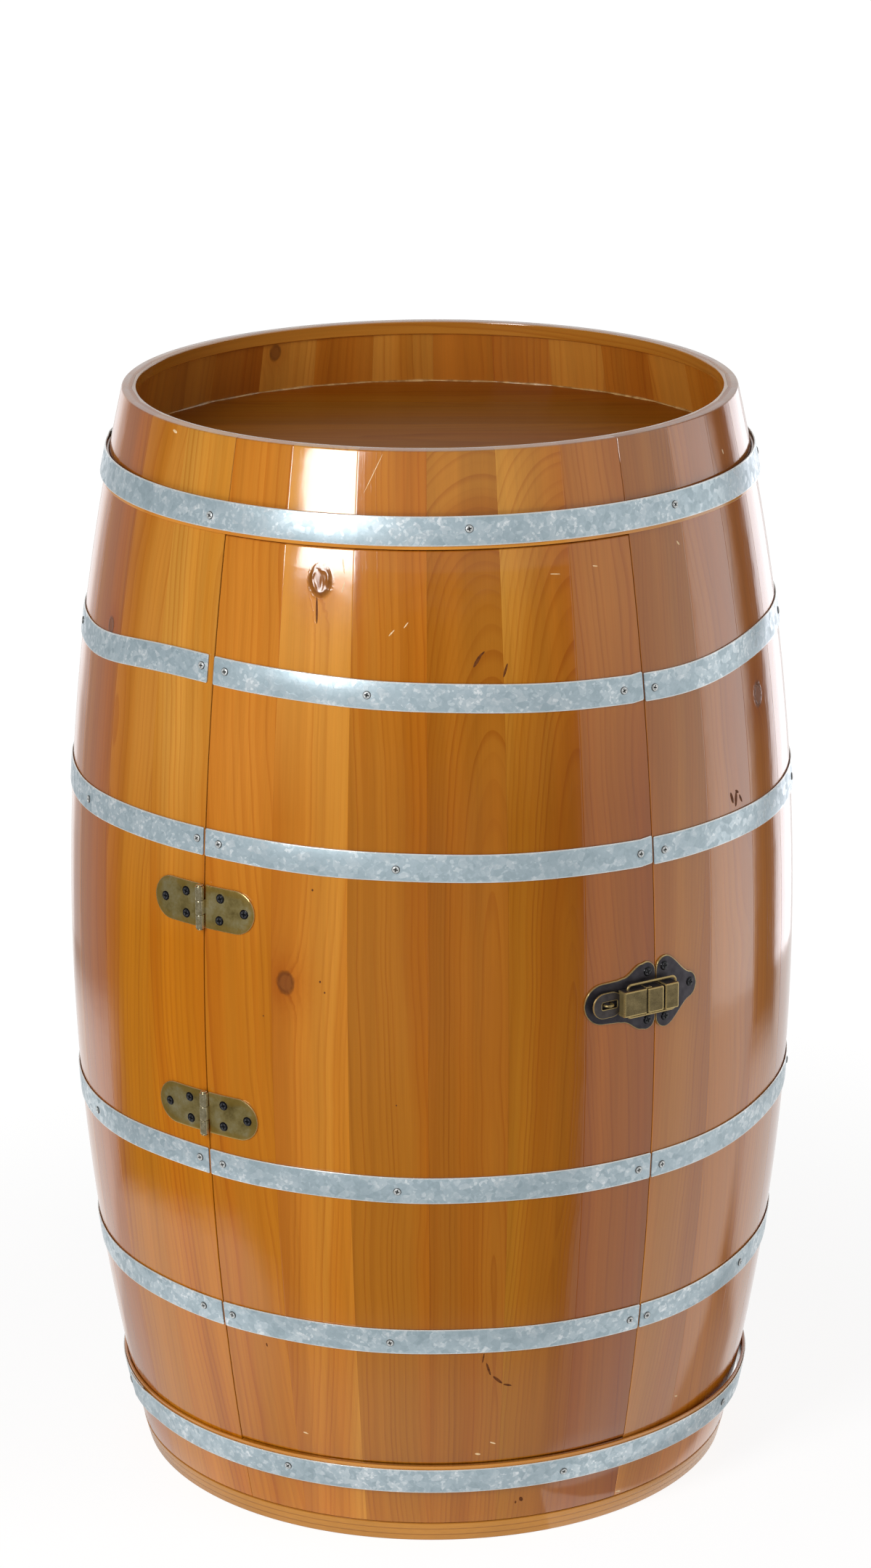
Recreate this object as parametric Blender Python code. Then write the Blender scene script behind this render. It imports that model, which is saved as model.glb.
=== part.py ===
"""Barrel wine cabinet: a bowed barrel of staves with a hinged, latched door and a tray top.

The barrel stands on the XY plane with its axis on Z. The door faces -Y and angles are
measured round the barrel from there, positive towards +X. Lengths are in metres.
"""
import math

import bmesh
import bpy
from mathutils import Matrix, Vector

# Barrel
HEIGHT = 0.800
BELLY_DIAMETER = 0.5284
END_DIAMETER = 0.4356
STAVE_COUNT = 30
DOOR_STAVES = 6
STAVE_THICKNESS = 0.008
BASE_THICKNESS = 0.015
TRAY_DEPTH = 0.048
HEAD_THICKNESS = 0.012
RIM_BAND_HEIGHT = 0.020
RIM_BAND_THICKNESS = 0.002

# Hoops: drops are from the rim and rises from the floor to the middle of the strip.
# A lean is how far a hand-fitted strap sits higher at +X than on the barrel's axis.
HOOP_WIDTH = 0.0195
HOOP_THICKNESS = 0.001
TOP_HOOP_DROP = 0.051
UPPER_QUARTER_DROP = 0.161
UPPER_BILGE_DROP = 0.277
LOWER_BILGE_RISE = 0.2895
LOWER_QUARTER_RISE = 0.170
BASE_HOOP_RISE = 0.054
UPPER_QUARTER_LEAN = -0.009
UPPER_BILGE_LEAN = -0.004
LOWER_BILGE_LEAN = -0.0015
LOWER_QUARTER_LEAN = 0.002
HOOP_BAND_THICKNESS = 0.002
HOOP_BAND_LIP = 0.0025

# Clearances
FIT = 0.0003
DOOR_GAP = 0.0012
STRAP_SETBACK = 0.0016

# Inside
SHELF_RISE = 0.385
SHELF_THICKNESS = 0.012
LEDGER_HEIGHT = 0.014
LEDGER_DEPTH = 0.012
STOP_THICKNESS = 0.008
STOP_REACH = 0.010
STOP_GRIP = 0.012
SHELF_FRONT_CLEARANCE = 0.002

# Hinges, each set off from the nearest bilge hoop
HINGE_OFFSET = 0.0405
LEAF_LENGTH = 0.044
LEAF_HEIGHT = 0.031
LEAF_THICKNESS = 0.001
KNUCKLE_RADIUS = 0.003
HINGE_PIN_RADIUS = 0.0015
PIN_TIP_RADIUS = 0.0024
PIN_TIP_HEIGHT = 0.0016

# Latch, laid out from the door's edge: u runs round the barrel, v up, n outwards.
# A sweep is how far an outline follows a round lobe or tip, in degrees. The lift is how far
# the latch sits above the middle between the bilge hoops.
LATCH_LIFT = 0.01075
LATCH_DATUM = -0.016
LATCH_PLATE_THICKNESS = 0.0012
DOOR_PLATE_LENGTH = 0.055
DOOR_PLATE_END_RADIUS = 0.015
DOOR_PLATE_WAIST_U = -0.026
DOOR_PLATE_WAIST_V = 0.0163
DOOR_LOBE_U = -0.0084
DOOR_LOBE_V = 0.0172
DOOR_LOBE_RADIUS = 0.0074
DOOR_LOBE_SWEEP = 125
CATCH_LOBE_U = 0.009
CATCH_LOBE_V = 0.0185
CATCH_LOBE_RADIUS = 0.0076
CATCH_LOBE_SWEEP = 145
CATCH_WAIST_U = 0.021
CATCH_WAIST_V = 0.0155
CATCH_TIP_U = 0.0296
CATCH_TIP_RADIUS = 0.008
CATCH_TIP_SWEEP = 150
CATCH_START = 0.0022
CATCH_END = 0.0133
CATCH_HALF_HEIGHT = 0.0085
CATCH_FRONT = 0.011
HOUSING_START = -0.0084
HOUSING_END = -0.001
HOUSING_HALF_HEIGHT = 0.008
HOUSING_FRONT = 0.011
LEVER_PIVOT_U = -0.0106
LEVER_PIVOT_N = 0.009
LEVER_PIN_RADIUS = 0.0009
LEVER_CURL_RADIUS = 0.0019
LEVER_LUG_WIDTH = 0.0022
LEVER_START = -0.0315
LEVER_WALL_END = -0.013
LEVER_HALF_HEIGHT = 0.0083
LEVER_BACK = 0.0024
LEVER_FRONT = 0.0103
LEVER_WALL = 0.0012
TAIL_END = -0.050
SLOT_START = -0.046
SLOT_END = -0.033
SLOT_HALF_HEIGHT = 0.00275
STAPLE_U = -0.040
STAPLE_RADIUS = 0.004
STAPLE_BAR = 0.0018
STAPLE_SPRING_N = 0.0025
BAIL_PIVOT_U = -0.0254
BAIL_N = 0.005
BAIL_WIRE_RADIUS = 0.0012
BAIL_HALF_HEIGHT = 0.0125
BAIL_CORNER_RADIUS = 0.003
BAIL_SLACK = 0.0006

# Faceting of the round surfaces
BOW_STEPS = 12
FACETS_PER_STAVE = 2
ARC_STEPS = 6
ROUND_SIDES = 12
WIRE_RESOLUTION = 2
SMOOTH_ANGLE = math.radians(25)
SAME_POINT = 1e-6

# Worked out from the sizes above
STAVE_ANGLE = 2 * math.pi / STAVE_COUNT
FACET_ANGLE = STAVE_ANGLE / FACETS_PER_STAVE
DOOR_HALF_ANGLE = STAVE_ANGLE * DOOR_STAVES / 2
BELLY_RADIUS = BELLY_DIAMETER / 2
BOW_RISE = (BELLY_DIAMETER - END_DIAMETER) / 2
BOW_RADIUS = ((HEIGHT / 2) ** 2 + BOW_RISE ** 2) / (2 * BOW_RISE)
BOW_KNOTS = [HEIGHT * step / BOW_STEPS for step in range(BOW_STEPS + 1)]
TOP_HOOP_Z = HEIGHT - TOP_HOOP_DROP
DOOR_BOTTOM = BASE_HOOP_RISE + HOOP_WIDTH / 2 + HOOP_BAND_LIP + DOOR_GAP
DOOR_TOP = TOP_HOOP_Z - HOOP_WIDTH / 2 - HOOP_BAND_LIP - DOOR_GAP
HEAD_TOP = HEIGHT - TRAY_DEPTH
HEAD_BOTTOM = HEAD_TOP - HEAD_THICKNESS
LATCH_RISE = (HEIGHT - UPPER_BILGE_DROP + LOWER_BILGE_RISE) / 2 + LATCH_LIFT
HINGE_ANGLE = -DOOR_HALF_ANGLE
HINGE_HEIGHTS = {
    "upper": HEIGHT - UPPER_BILGE_DROP - HINGE_OFFSET,
    "lower": LOWER_BILGE_RISE + HINGE_OFFSET,
}


def bow_radius(height):
    """Outer radius of the barrel: a shallow arc, taken as straight between the knots."""
    def smooth_radius(z):
        rise = z - HEIGHT / 2
        return BELLY_RADIUS - BOW_RADIUS + math.sqrt(BOW_RADIUS ** 2 - rise ** 2)
    span = HEIGHT / BOW_STEPS
    step = min(max(int(height / span), 0), BOW_STEPS - 1)
    share = height / span - step
    return smooth_radius(BOW_KNOTS[step]) * (1 - share) + smooth_radius(BOW_KNOTS[step + 1]) * share


def facet_radius(angle, height):
    """Distance from the axis to the faceted outside at an angle and a height."""
    off_middle = angle % FACET_ANGLE - FACET_ANGLE / 2
    return bow_radius(height) * math.cos(FACET_ANGLE / 2) / math.cos(off_middle)


def radial(angle):
    """Unit vector pointing straight out of the barrel at an angle."""
    return Vector((math.sin(angle), -math.cos(angle), 0))


def tangent(angle):
    """Unit vector running round the barrel at an angle."""
    return Vector((math.cos(angle), math.sin(angle), 0))


def at(angle, radius, height):
    """Point at an angle, a distance from the axis and a height."""
    return radial(angle) * radius + Vector((0, 0, height))


def levels(bottom, top):
    """Heights where a bowed piece is drawn: its ends and the bow's knots between them."""
    inside = [knot for knot in BOW_KNOTS if bottom + FIT < knot < top - FIT]
    return [bottom] + inside + [top]


def finish(name, colour, roughness, metallic=0.0):
    """Plain Principled material."""
    material = bpy.data.materials.new(name)
    material.use_nodes = True
    shader = material.node_tree.nodes["Principled BSDF"]
    shader.inputs["Base Color"].default_value = (*colour, 1)
    shader.inputs["Roughness"].default_value = roughness
    shader.inputs["Metallic"].default_value = metallic
    return material


def add_object(name, bm, material, matrix=Matrix()):
    """Named object from a bmesh, with round faces shaded smooth."""
    bmesh.ops.recalc_face_normals(bm, faces=bm.faces)
    mesh = bpy.data.meshes.new(name)
    bm.to_mesh(mesh)
    bm.free()
    mesh.shade_smooth()
    mesh.set_sharp_from_angle(angle=SMOOTH_ANGLE)
    if material:
        mesh.materials.append(material)
    obj = bpy.data.objects.new(name, mesh)
    obj.matrix_world = matrix
    bpy.context.collection.objects.link(obj)
    return obj


def combine(obj, tool_name, bm, operation, solver="EXACT"):
    """Join a shape to an object, or cut it out, with a hidden tool object."""
    tool = add_object(tool_name, bm, None, obj.matrix_world)
    tool.hide_render = True
    tool.display_type = "WIRE"
    modifier = obj.modifiers.new(tool_name, "BOOLEAN")
    modifier.operation = operation
    modifier.solver = solver
    modifier.object = tool


def loft(sections):
    """Solid grown from the first section by extruding it to each following one."""
    bm = bmesh.new()
    ring = [bm.verts.new(point) for point in sections[0]]
    end = first = bm.faces.new(ring)
    for section in sections[1:]:
        grown = bmesh.ops.extrude_face_region(bm, geom=[end])["geom"]
        if end is not first:
            bm.faces.remove(end)
        end = next(item for item in grown if isinstance(item, bmesh.types.BMFace))
        copies = {vert.co.to_tuple(6): vert for vert in end.verts}
        ring = [copies[vert.co.to_tuple(6)] for vert in ring]
        for vert, point in zip(ring, section):
            vert.co = point
    return bm


def turned_ring(profile, sides):
    """Ring spun round the barrel's axis from a closed profile of (radius, height)."""
    bm = bmesh.new()
    verts = [bm.verts.new(at(0, radius, height)) for radius, height in profile]
    edges = [bm.edges.new(pair) for pair in zip(verts, verts[1:] + verts[:1])]
    bmesh.ops.spin(bm, geom=verts + edges, axis=(0, 0, 1), cent=(0, 0, 0),
                   angle=2 * math.pi, steps=sides, use_merge=True)
    return bm


def box(low, high):
    """Rectangular block between two corners."""
    bm = bmesh.new()
    middle = (Vector(low) + Vector(high)) / 2
    size = Vector(high) - Vector(low)
    matrix = Matrix.Translation(middle) @ Matrix.Diagonal((*size, 1))
    bmesh.ops.create_cube(bm, size=1, matrix=matrix)
    return bm


def rod(centre, radius, length, axis):
    """Round bar of a length, centred on a point along Z or Y."""
    turn = Matrix.Rotation(math.pi / 2, 4, "X") if axis == "Y" else Matrix()
    bm = bmesh.new()
    bmesh.ops.create_cone(bm, cap_ends=True, segments=ROUND_SIDES, radius1=radius, radius2=radius,
                          depth=length, matrix=Matrix.Translation(centre) @ turn)
    return bm


def arc(centre, radius, start, end):
    """Points of an arc in a plane, from one angle in degrees to another."""
    points = []
    for step in range(ARC_STEPS + 1):
        turn = math.radians(start + (end - start) * step / ARC_STEPS)
        points.append((centre[0] + radius * math.cos(turn), centre[1] + radius * math.sin(turn)))
    return points


def shell_section(height, start, end, start_gap, end_gap):
    """Plan of staves glued side by side: round outside, a flat on the inside of each stave."""
    radius = bow_radius(height)
    half = STAVE_ANGLE / 2
    flat = radius - STAVE_THICKNESS
    facets = round((end - start) / FACET_ANGLE)
    outer = [at(start + FACET_ANGLE * step, radius, height) for step in range(facets + 1)]
    corners = round((end - start) / STAVE_ANGLE)
    inner = [at(start + STAVE_ANGLE * step, flat / math.cos(half), height)
             for step in range(corners + 1)]
    outer[0] += tangent(start) * start_gap
    outer[-1] -= tangent(end) * end_gap
    inner[0] += tangent(start) * start_gap - radial(start) * start_gap * math.tan(half)
    inner[-1] -= tangent(end) * end_gap + radial(end) * end_gap * math.tan(half)
    return outer + inner[::-1]


def staves(name, bottom, top, start, end, start_gap, end_gap, material):
    """Bowed length of one or more staves."""
    sections = [shell_section(height, start, end, start_gap, end_gap)
                for height in levels(bottom, top)]
    return add_object(name, loft(sections), material)


def inside_plan(height, clearance):
    """Polygon just inside the flats of all the staves at a height."""
    flat = bow_radius(height) - STAVE_THICKNESS - clearance
    corner = flat / math.cos(STAVE_ANGLE / 2)
    return [at(STAVE_ANGLE * step, corner, height) for step in range(STAVE_COUNT)]


def board_inside(bottom, top):
    """Round board filling the barrel between two heights."""
    return loft([inside_plan(bottom, FIT), inside_plan(top, FIT)])


def facet_angles(start, end):
    """Angles where a piece laid round the outside is bent, with its two ends."""
    first = math.floor(start / FACET_ANGLE) + 1
    last = math.ceil(end / FACET_ANGLE)
    return [start] + [FACET_ANGLE * step for step in range(first, last)] + [end]


def strap(name, rise, lean, start, end, material):
    """Flat steel strip bent round the outside between two angles."""
    sections = []
    for angle in facet_angles(start, end):
        middle = rise + lean * math.sin(angle)
        low = middle - HOOP_WIDTH / 2
        high = middle + HOOP_WIDTH / 2
        inner_low = facet_radius(angle, low) + FIT
        inner_high = facet_radius(angle, high) + FIT
        sections.append([
            at(angle, inner_low, low),
            at(angle, inner_high, high),
            at(angle, inner_high + HOOP_THICKNESS, high),
            at(angle, inner_low + HOOP_THICKNESS, low),
        ])
    return add_object(name, loft(sections), material)


def closed_hoop(name, low, high, stand_off, thickness, material):
    """Closed ring round the barrel between two heights, standing off its outside."""
    inner_low = bow_radius(low) + stand_off
    inner_high = bow_radius(high) + stand_off
    profile = [
        (inner_low, low),
        (inner_low + thickness, low),
        (inner_high + thickness, high),
        (inner_high, high),
    ]
    return add_object(name, turned_ring(profile, STAVE_COUNT * FACETS_PER_STAVE), material)


def on_barrel(seam, rise, u, v, n):
    """Point at a distance round, up and out from a seam of the barrel."""
    angle = seam + u / bow_radius(rise)
    return at(angle, facet_radius(angle, rise + v) + n, rise + v)


def bent_plate(outline, seam, rise, thickness):
    """Sheet cut to an outline and bent over the outside of the barrel."""
    bm = loft([[(u, v, n) for u, v in outline] for n in (FIT, FIT + thickness)])
    radius = bow_radius(rise)
    reach = [u for u, v in outline]
    bends = facet_angles(seam + min(reach) / radius, seam + max(reach) / radius)[1:-1]
    cuts = [((angle - seam) * radius, 0) for angle in bends]
    cuts += [(0, knot - rise) for knot in BOW_KNOTS]
    for u, v in cuts:
        bmesh.ops.bisect_plane(bm, geom=bm.verts[:] + bm.edges[:] + bm.faces[:],
                               plane_co=(u, v, 0), plane_no=(1, 0, 0) if u else (0, 1, 0))
    for vert in bm.verts:
        vert.co = on_barrel(seam, rise, *vert.co)
    bmesh.ops.triangulate(bm, faces=bm.faces[:])
    return bm


def moving_group(name, location, pieces):
    """Empty on a joint's axis that carries the pieces turning about it."""
    empty = bpy.data.objects.new(name, None)
    empty.location = location
    bpy.context.collection.objects.link(empty)
    for piece in pieces:
        piece.parent = empty
        piece.matrix_parent_inverse = Matrix.Translation(-location)


for leftover in list(bpy.data.objects):
    bpy.data.objects.remove(leftover, do_unlink=True)

# Finishes
WOOD_TONES = [
    finish("lacquered_fir_amber", (0.53, 0.25, 0.055), 0.22),
    finish("lacquered_fir_honey", (0.58, 0.30, 0.075), 0.22),
    finish("lacquered_fir_russet", (0.45, 0.19, 0.045), 0.22),
]
BOARD = finish("lacquered_board", (0.36, 0.15, 0.035), 0.25)
PLYWOOD = finish("lacquered_plywood", (0.50, 0.27, 0.09), 0.3)
INNER_WOOD = finish("inner_wood", (0.52, 0.33, 0.15), 0.5)
STEEL = finish("galvanised_steel", (0.62, 0.66, 0.68), 0.4, 1.0)
BRASS = finish("antique_brass", (0.35, 0.26, 0.10), 0.4, 1.0)
BRONZE = finish("dark_bronze", (0.10, 0.085, 0.07), 0.4, 1.0)


# Neighbouring staves are cut from different boards
TONE_ORDER = [1, 2, 1, 0, 1, 0, 2]


def stave_tone(index):
    """Finish of the stave at a place round the barrel."""
    return WOOD_TONES[TONE_ORDER[index % len(TONE_ORDER)]]


# Body: staves all round the barrel except where the door is
body_staves = STAVE_COUNT - DOOR_STAVES
for index in range(body_staves):
    begin = DOOR_HALF_ANGLE + STAVE_ANGLE * index
    staves(f"body_stave_{index + 1:02d}", BASE_THICKNESS + FIT, HEIGHT, begin,
           begin + STAVE_ANGLE, FIT / 2, FIT / 2, stave_tone(index))

# Stave ends left above and below the door
staves("door_header", DOOR_TOP + DOOR_GAP, HEIGHT, -DOOR_HALF_ANGLE, DOOR_HALF_ANGLE,
       FIT / 2, FIT / 2, WOOD_TONES[0])
staves("door_sill", BASE_THICKNESS + FIT, DOOR_BOTTOM - DOOR_GAP, -DOOR_HALF_ANGLE,
       DOOR_HALF_ANGLE, FIT / 2, FIT / 2, WOOD_TONES[0])

# Boards and bands that close and stiffen the barrel
base_plan = [[at(FACET_ANGLE * step, bow_radius(height), height)
              for step in range(STAVE_COUNT * FACETS_PER_STAVE)]
             for height in (0, BASE_THICKNESS)]
add_object("base_board", loft(base_plan), PLYWOOD)
add_object("head_panel", board_inside(HEAD_BOTTOM, HEAD_TOP), BOARD)
corner_share = 1 / math.cos(STAVE_ANGLE / 2)
rim_profile = []
for height, depth in ((HEIGHT - RIM_BAND_HEIGHT, 0), (HEIGHT, 0),
                      (HEIGHT, RIM_BAND_THICKNESS), (HEIGHT - RIM_BAND_HEIGHT, RIM_BAND_THICKNESS)):
    flat = bow_radius(height) - STAVE_THICKNESS - FIT - depth
    rim_profile.append((flat * corner_share, height))
add_object("rim_band", turned_ring(rim_profile, STAVE_COUNT), WOOD_TONES[1])

# Top and base hoops, closed rings over thin wooden bands
for name, rise, lip in (("top", TOP_HOOP_Z, -HOOP_BAND_LIP), ("base", BASE_HOOP_RISE, HOOP_BAND_LIP)):
    low = rise - HOOP_WIDTH / 2
    high = rise + HOOP_WIDTH / 2
    closed_hoop(f"{name}_hoop_band", low + lip, high + lip, FIT, HOOP_BAND_THICKNESS, WOOD_TONES[1])
    closed_hoop(f"{name}_hoop", low, high, 2 * FIT + HOOP_BAND_THICKNESS, HOOP_THICKNESS, STEEL)

# The other hoops, cut at the door's edges into a body strap and a door strap
SPLIT_HOOPS = {
    "upper_quarter": (HEIGHT - UPPER_QUARTER_DROP, UPPER_QUARTER_LEAN),
    "upper_bilge": (HEIGHT - UPPER_BILGE_DROP, UPPER_BILGE_LEAN),
    "lower_bilge": (LOWER_BILGE_RISE, LOWER_BILGE_LEAN),
    "lower_quarter": (LOWER_QUARTER_RISE, LOWER_QUARTER_LEAN),
}
door_pieces = []
for name, (rise, lean) in SPLIT_HOOPS.items():
    body_end = STRAP_SETBACK / bow_radius(rise)
    door_end = (DOOR_GAP + STRAP_SETBACK) / bow_radius(rise)
    strap(f"{name}_body_strap", rise, lean, DOOR_HALF_ANGLE + body_end,
          2 * math.pi - DOOR_HALF_ANGLE - body_end, STEEL)
    door_pieces.append(strap(f"{name}_door_strap", rise, lean, -DOOR_HALF_ANGLE + door_end,
                             DOOR_HALF_ANGLE - door_end, STEEL))

# Door: six staves, with the running gap at its two outer edges
for index in range(DOOR_STAVES):
    begin = -DOOR_HALF_ANGLE + STAVE_ANGLE * index
    edge_gap = DOOR_GAP - FIT / 2
    first_gap = edge_gap if index == 0 else FIT / 2
    last_gap = edge_gap if index == DOOR_STAVES - 1 else FIT / 2
    door_pieces.append(staves(f"door_stave_{index + 1}", DOOR_BOTTOM, DOOR_TOP, begin,
                              begin + STAVE_ANGLE, first_gap, last_gap, stave_tone(index + 1)))


def stop_section(height):
    """Plan of the strip glued behind the latch-side seam, half of it behind the door."""
    seam = DOOR_HALF_ANGLE
    plan = []
    for depth in (FIT, FIT + STOP_THICKNESS):
        flat = bow_radius(height) - STAVE_THICKNESS - depth
        bend = at(seam, flat / math.cos(STAVE_ANGLE / 2), height)
        door_side = bend - tangent(seam - STAVE_ANGLE / 2) * STOP_REACH
        body_side = bend + tangent(seam + STAVE_ANGLE / 2) * STOP_GRIP
        plan.append([door_side, bend, body_side])
    return plan[0] + plan[1][::-1]


# Inside: door stop, shelf with a straight front edge, and the ledger under it
stop_levels = levels(BASE_THICKNESS + FIT, HEAD_BOTTOM - FIT)
add_object("door_stop", loft([stop_section(height) for height in stop_levels]), INNER_WOOD)

shelf_top = SHELF_RISE + SHELF_THICKNESS
shelf = board_inside(SHELF_RISE, shelf_top)
stop_corners = [point for height in levels(SHELF_RISE, shelf_top) for point in stop_section(height)[2:4]]
shelf_front = max(point.y for point in stop_corners) + SHELF_FRONT_CLEARANCE
cut = bmesh.ops.bisect_plane(shelf, geom=shelf.verts[:] + shelf.edges[:] + shelf.faces[:],
                             plane_co=(0, shelf_front, 0), plane_no=(0, 1, 0), clear_inner=True)
cut_edges = [item for item in cut["geom_cut"] if isinstance(item, bmesh.types.BMEdge)]
bmesh.ops.edgeloop_fill(shelf, edges=cut_edges)
add_object("shelf", shelf, INNER_WOOD)

ledger_top = SHELF_RISE - FIT
ledger_sections = []
for step in range(1, body_staves):
    corner_angle = DOOR_HALF_ANGLE + STAVE_ANGLE * step
    section = []
    for height, depth in ((ledger_top - LEDGER_HEIGHT, 0), (ledger_top, 0),
                          (ledger_top, LEDGER_DEPTH), (ledger_top - LEDGER_HEIGHT, LEDGER_DEPTH)):
        flat = bow_radius(height) - STAVE_THICKNESS - FIT - depth
        section.append(at(corner_angle, flat * corner_share, height))
    ledger_sections.append(section)
add_object("shelf_ledger", loft(ledger_sections), INNER_WOOD)

# Hinges: leaves bent to the barrel, knuckles on one upright axis just outside it
hinge_ends = [rise + side * LEAF_HEIGHT / 2 for rise in HINGE_HEIGHTS.values() for side in (-1, 1)]
hinge_axis_radius = max(bow_radius(height) for height in hinge_ends) + 2 * FIT + KNUCKLE_RADIUS
hinge_axis = at(HINGE_ANGLE, hinge_axis_radius, 0)
knuckle_half = LEAF_HEIGHT / 6
NOTCH = math.hypot(KNUCKLE_RADIUS, KNUCKLE_RADIUS) + FIT
WEB_INNER = DOOR_GAP / 2


def leaf_outline(side, outer_knuckles):
    """Leaf with a round end and tabs under its own knuckles, on one side of the axis."""
    half = LEAF_HEIGHT / 2
    step = knuckle_half + FIT if outer_knuckles else knuckle_half - FIT
    near = WEB_INNER if outer_knuckles else NOTCH
    middle = NOTCH if outer_knuckles else WEB_INNER
    edge = [(near, -half), (near, -step), (middle, -step), (middle, step), (near, step), (near, half)]
    end = arc((LEAF_LENGTH - half, 0), half, 90, -90)
    return [(side * u, v) for u, v in edge + end]


def knuckle_web(side, rise, low, high):
    """Block where the leaf rises from the barrel into a knuckle."""
    foot = []
    inner = WEB_INNER + FIT
    outer = KNUCKLE_RADIUS - FIT
    for u, v in ((inner, low), (outer, low), (outer, high), (inner, high)):
        foot.append(on_barrel(HINGE_ANGLE, rise, side * u, v, FIT + LEAF_THICKNESS / 2))
    crown = []
    for point in foot:
        lift = hinge_axis_radius - point.dot(radial(HINGE_ANGLE))
        crown.append(point + radial(HINGE_ANGLE) * lift)
    return loft([foot, crown])


def hinge_leaf(name, side, rise, outer_knuckles):
    """Leaf with its knuckles joined on and bored for the pin."""
    outline = leaf_outline(side, outer_knuckles)
    leaf = add_object(name, bent_plate(outline, HINGE_ANGLE, rise, LEAF_THICKNESS), BRASS)
    if outer_knuckles:
        outer = LEAF_HEIGHT / 2 - FIT
        spans = [(-outer, -knuckle_half - FIT / 2), (knuckle_half + FIT / 2, outer)]
    else:
        spans = [(-knuckle_half + FIT / 2, knuckle_half - FIT / 2)]
    for number, (low, high) in enumerate(spans):
        middle = hinge_axis + Vector((0, 0, rise + (low + high) / 2))
        web = knuckle_web(side, rise, low + FIT, high - FIT)
        combine(leaf, f"{name}_web_{number}", web, "UNION", "MANIFOLD")
        knuckle = rod(middle, KNUCKLE_RADIUS, high - low, "Z")
        combine(leaf, f"{name}_knuckle_{number}", knuckle, "UNION", "MANIFOLD")
    centre = hinge_axis + Vector((0, 0, rise))
    bore = rod(centre, HINGE_PIN_RADIUS + FIT, LEAF_HEIGHT * 2, "Z")
    combine(leaf, f"{name}_bore", bore, "DIFFERENCE", "MANIFOLD")
    return leaf


def hinge_pin(name, rise):
    """Pin with a rounded tip at each end, standing just clear of the knuckles."""
    half = LEAF_HEIGHT / 2 + FIT
    shoulder = math.cos(math.pi / 4)
    profile = [(0, half + PIN_TIP_HEIGHT),
               (PIN_TIP_RADIUS * shoulder, half + PIN_TIP_HEIGHT * shoulder),
               (PIN_TIP_RADIUS, half), (HINGE_PIN_RADIUS, half)]
    profile += [(radius, -height) for radius, height in profile[::-1]]
    bm = bmesh.new()
    verts = [bm.verts.new((radius, 0, height)) for radius, height in profile]
    edges = [bm.edges.new(pair) for pair in zip(verts, verts[1:])]
    bmesh.ops.spin(bm, geom=verts + edges, axis=(0, 0, 1), cent=(0, 0, 0),
                   angle=2 * math.pi, steps=ROUND_SIDES, use_merge=True)
    bmesh.ops.remove_doubles(bm, verts=bm.verts[:], dist=SAME_POINT)
    return add_object(name, bm, BRASS, Matrix.Translation(hinge_axis + Vector((0, 0, rise))))


for name, rise in HINGE_HEIGHTS.items():
    hinge_leaf(f"{name}_hinge_body_leaf", -1, rise, True)
    door_pieces.append(hinge_leaf(f"{name}_hinge_door_leaf", 1, rise, False))
    hinge_pin(f"{name}_hinge_pin", rise)

# Latch: its straight parts share a frame that touches the barrel at the datum
latch_angle = DOOR_HALF_ANGLE + LATCH_DATUM / bow_radius(LATCH_RISE)
latch_origin = at(latch_angle, facet_radius(latch_angle, LATCH_RISE), LATCH_RISE)
latch_origin -= tangent(latch_angle) * LATCH_DATUM
latch_frame = Matrix.Translation(latch_origin) @ Matrix((
    (*tangent(latch_angle),), (0, 0, 1), (*radial(latch_angle),))).transposed().to_4x4()
to_latch = latch_frame.inverted()


def plate_middle(u):
    """How far out the middle of a latch plate's thickness lies in the latch frame."""
    depth = FIT + LATCH_PLATE_THICKNESS / 2
    return (to_latch @ on_barrel(DOOR_HALF_ANGLE, LATCH_RISE, u, 0, depth)).z


def boss(u_low, u_high, v_low, v_high, front):
    """Block rising square from a latch plate to a flat front."""
    foot = [Vector((u, v, plate_middle(u))) for u, v in
            ((u_low, v_low), (u_high, v_low), (u_high, v_high), (u_low, v_high))]
    return loft([foot, [Vector((point.x, point.y, front)) for point in foot]])


def latch_plate_outline():
    """Door plate: round end, gentle waist and two lobes beside the door's edge."""
    end_u = -DOOR_PLATE_LENGTH + DOOR_PLATE_END_RADIUS
    upper = [(DOOR_PLATE_WAIST_U, DOOR_PLATE_WAIST_V)]
    upper += arc((DOOR_LOBE_U, DOOR_LOBE_V), DOOR_LOBE_RADIUS, DOOR_LOBE_SWEEP, 0)
    lower = [(u, -v) for u, v in upper[::-1]]
    return upper + lower + arc((end_u, 0), DOOR_PLATE_END_RADIUS, 270, 90)


def catch_plate_outline():
    """Body plate: two lobes beside the door's edge, narrowing to a round tip."""
    upper = arc((CATCH_LOBE_U, CATCH_LOBE_V), CATCH_LOBE_RADIUS, 180, 180 - CATCH_LOBE_SWEEP)
    upper += [(CATCH_WAIST_U, CATCH_WAIST_V)]
    lower = [(u, -v) for u, v in upper[::-1]]
    half_sweep = CATCH_TIP_SWEEP / 2
    return upper + arc((CATCH_TIP_U, 0), CATCH_TIP_RADIUS, half_sweep, -half_sweep) + lower


def latch_piece(name, bm):
    """Curved plate in the barrel's frame, moved to an object whose axes are the latch's."""
    bm.transform(to_latch)
    return add_object(name, bm, BRONZE, latch_frame)


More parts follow.
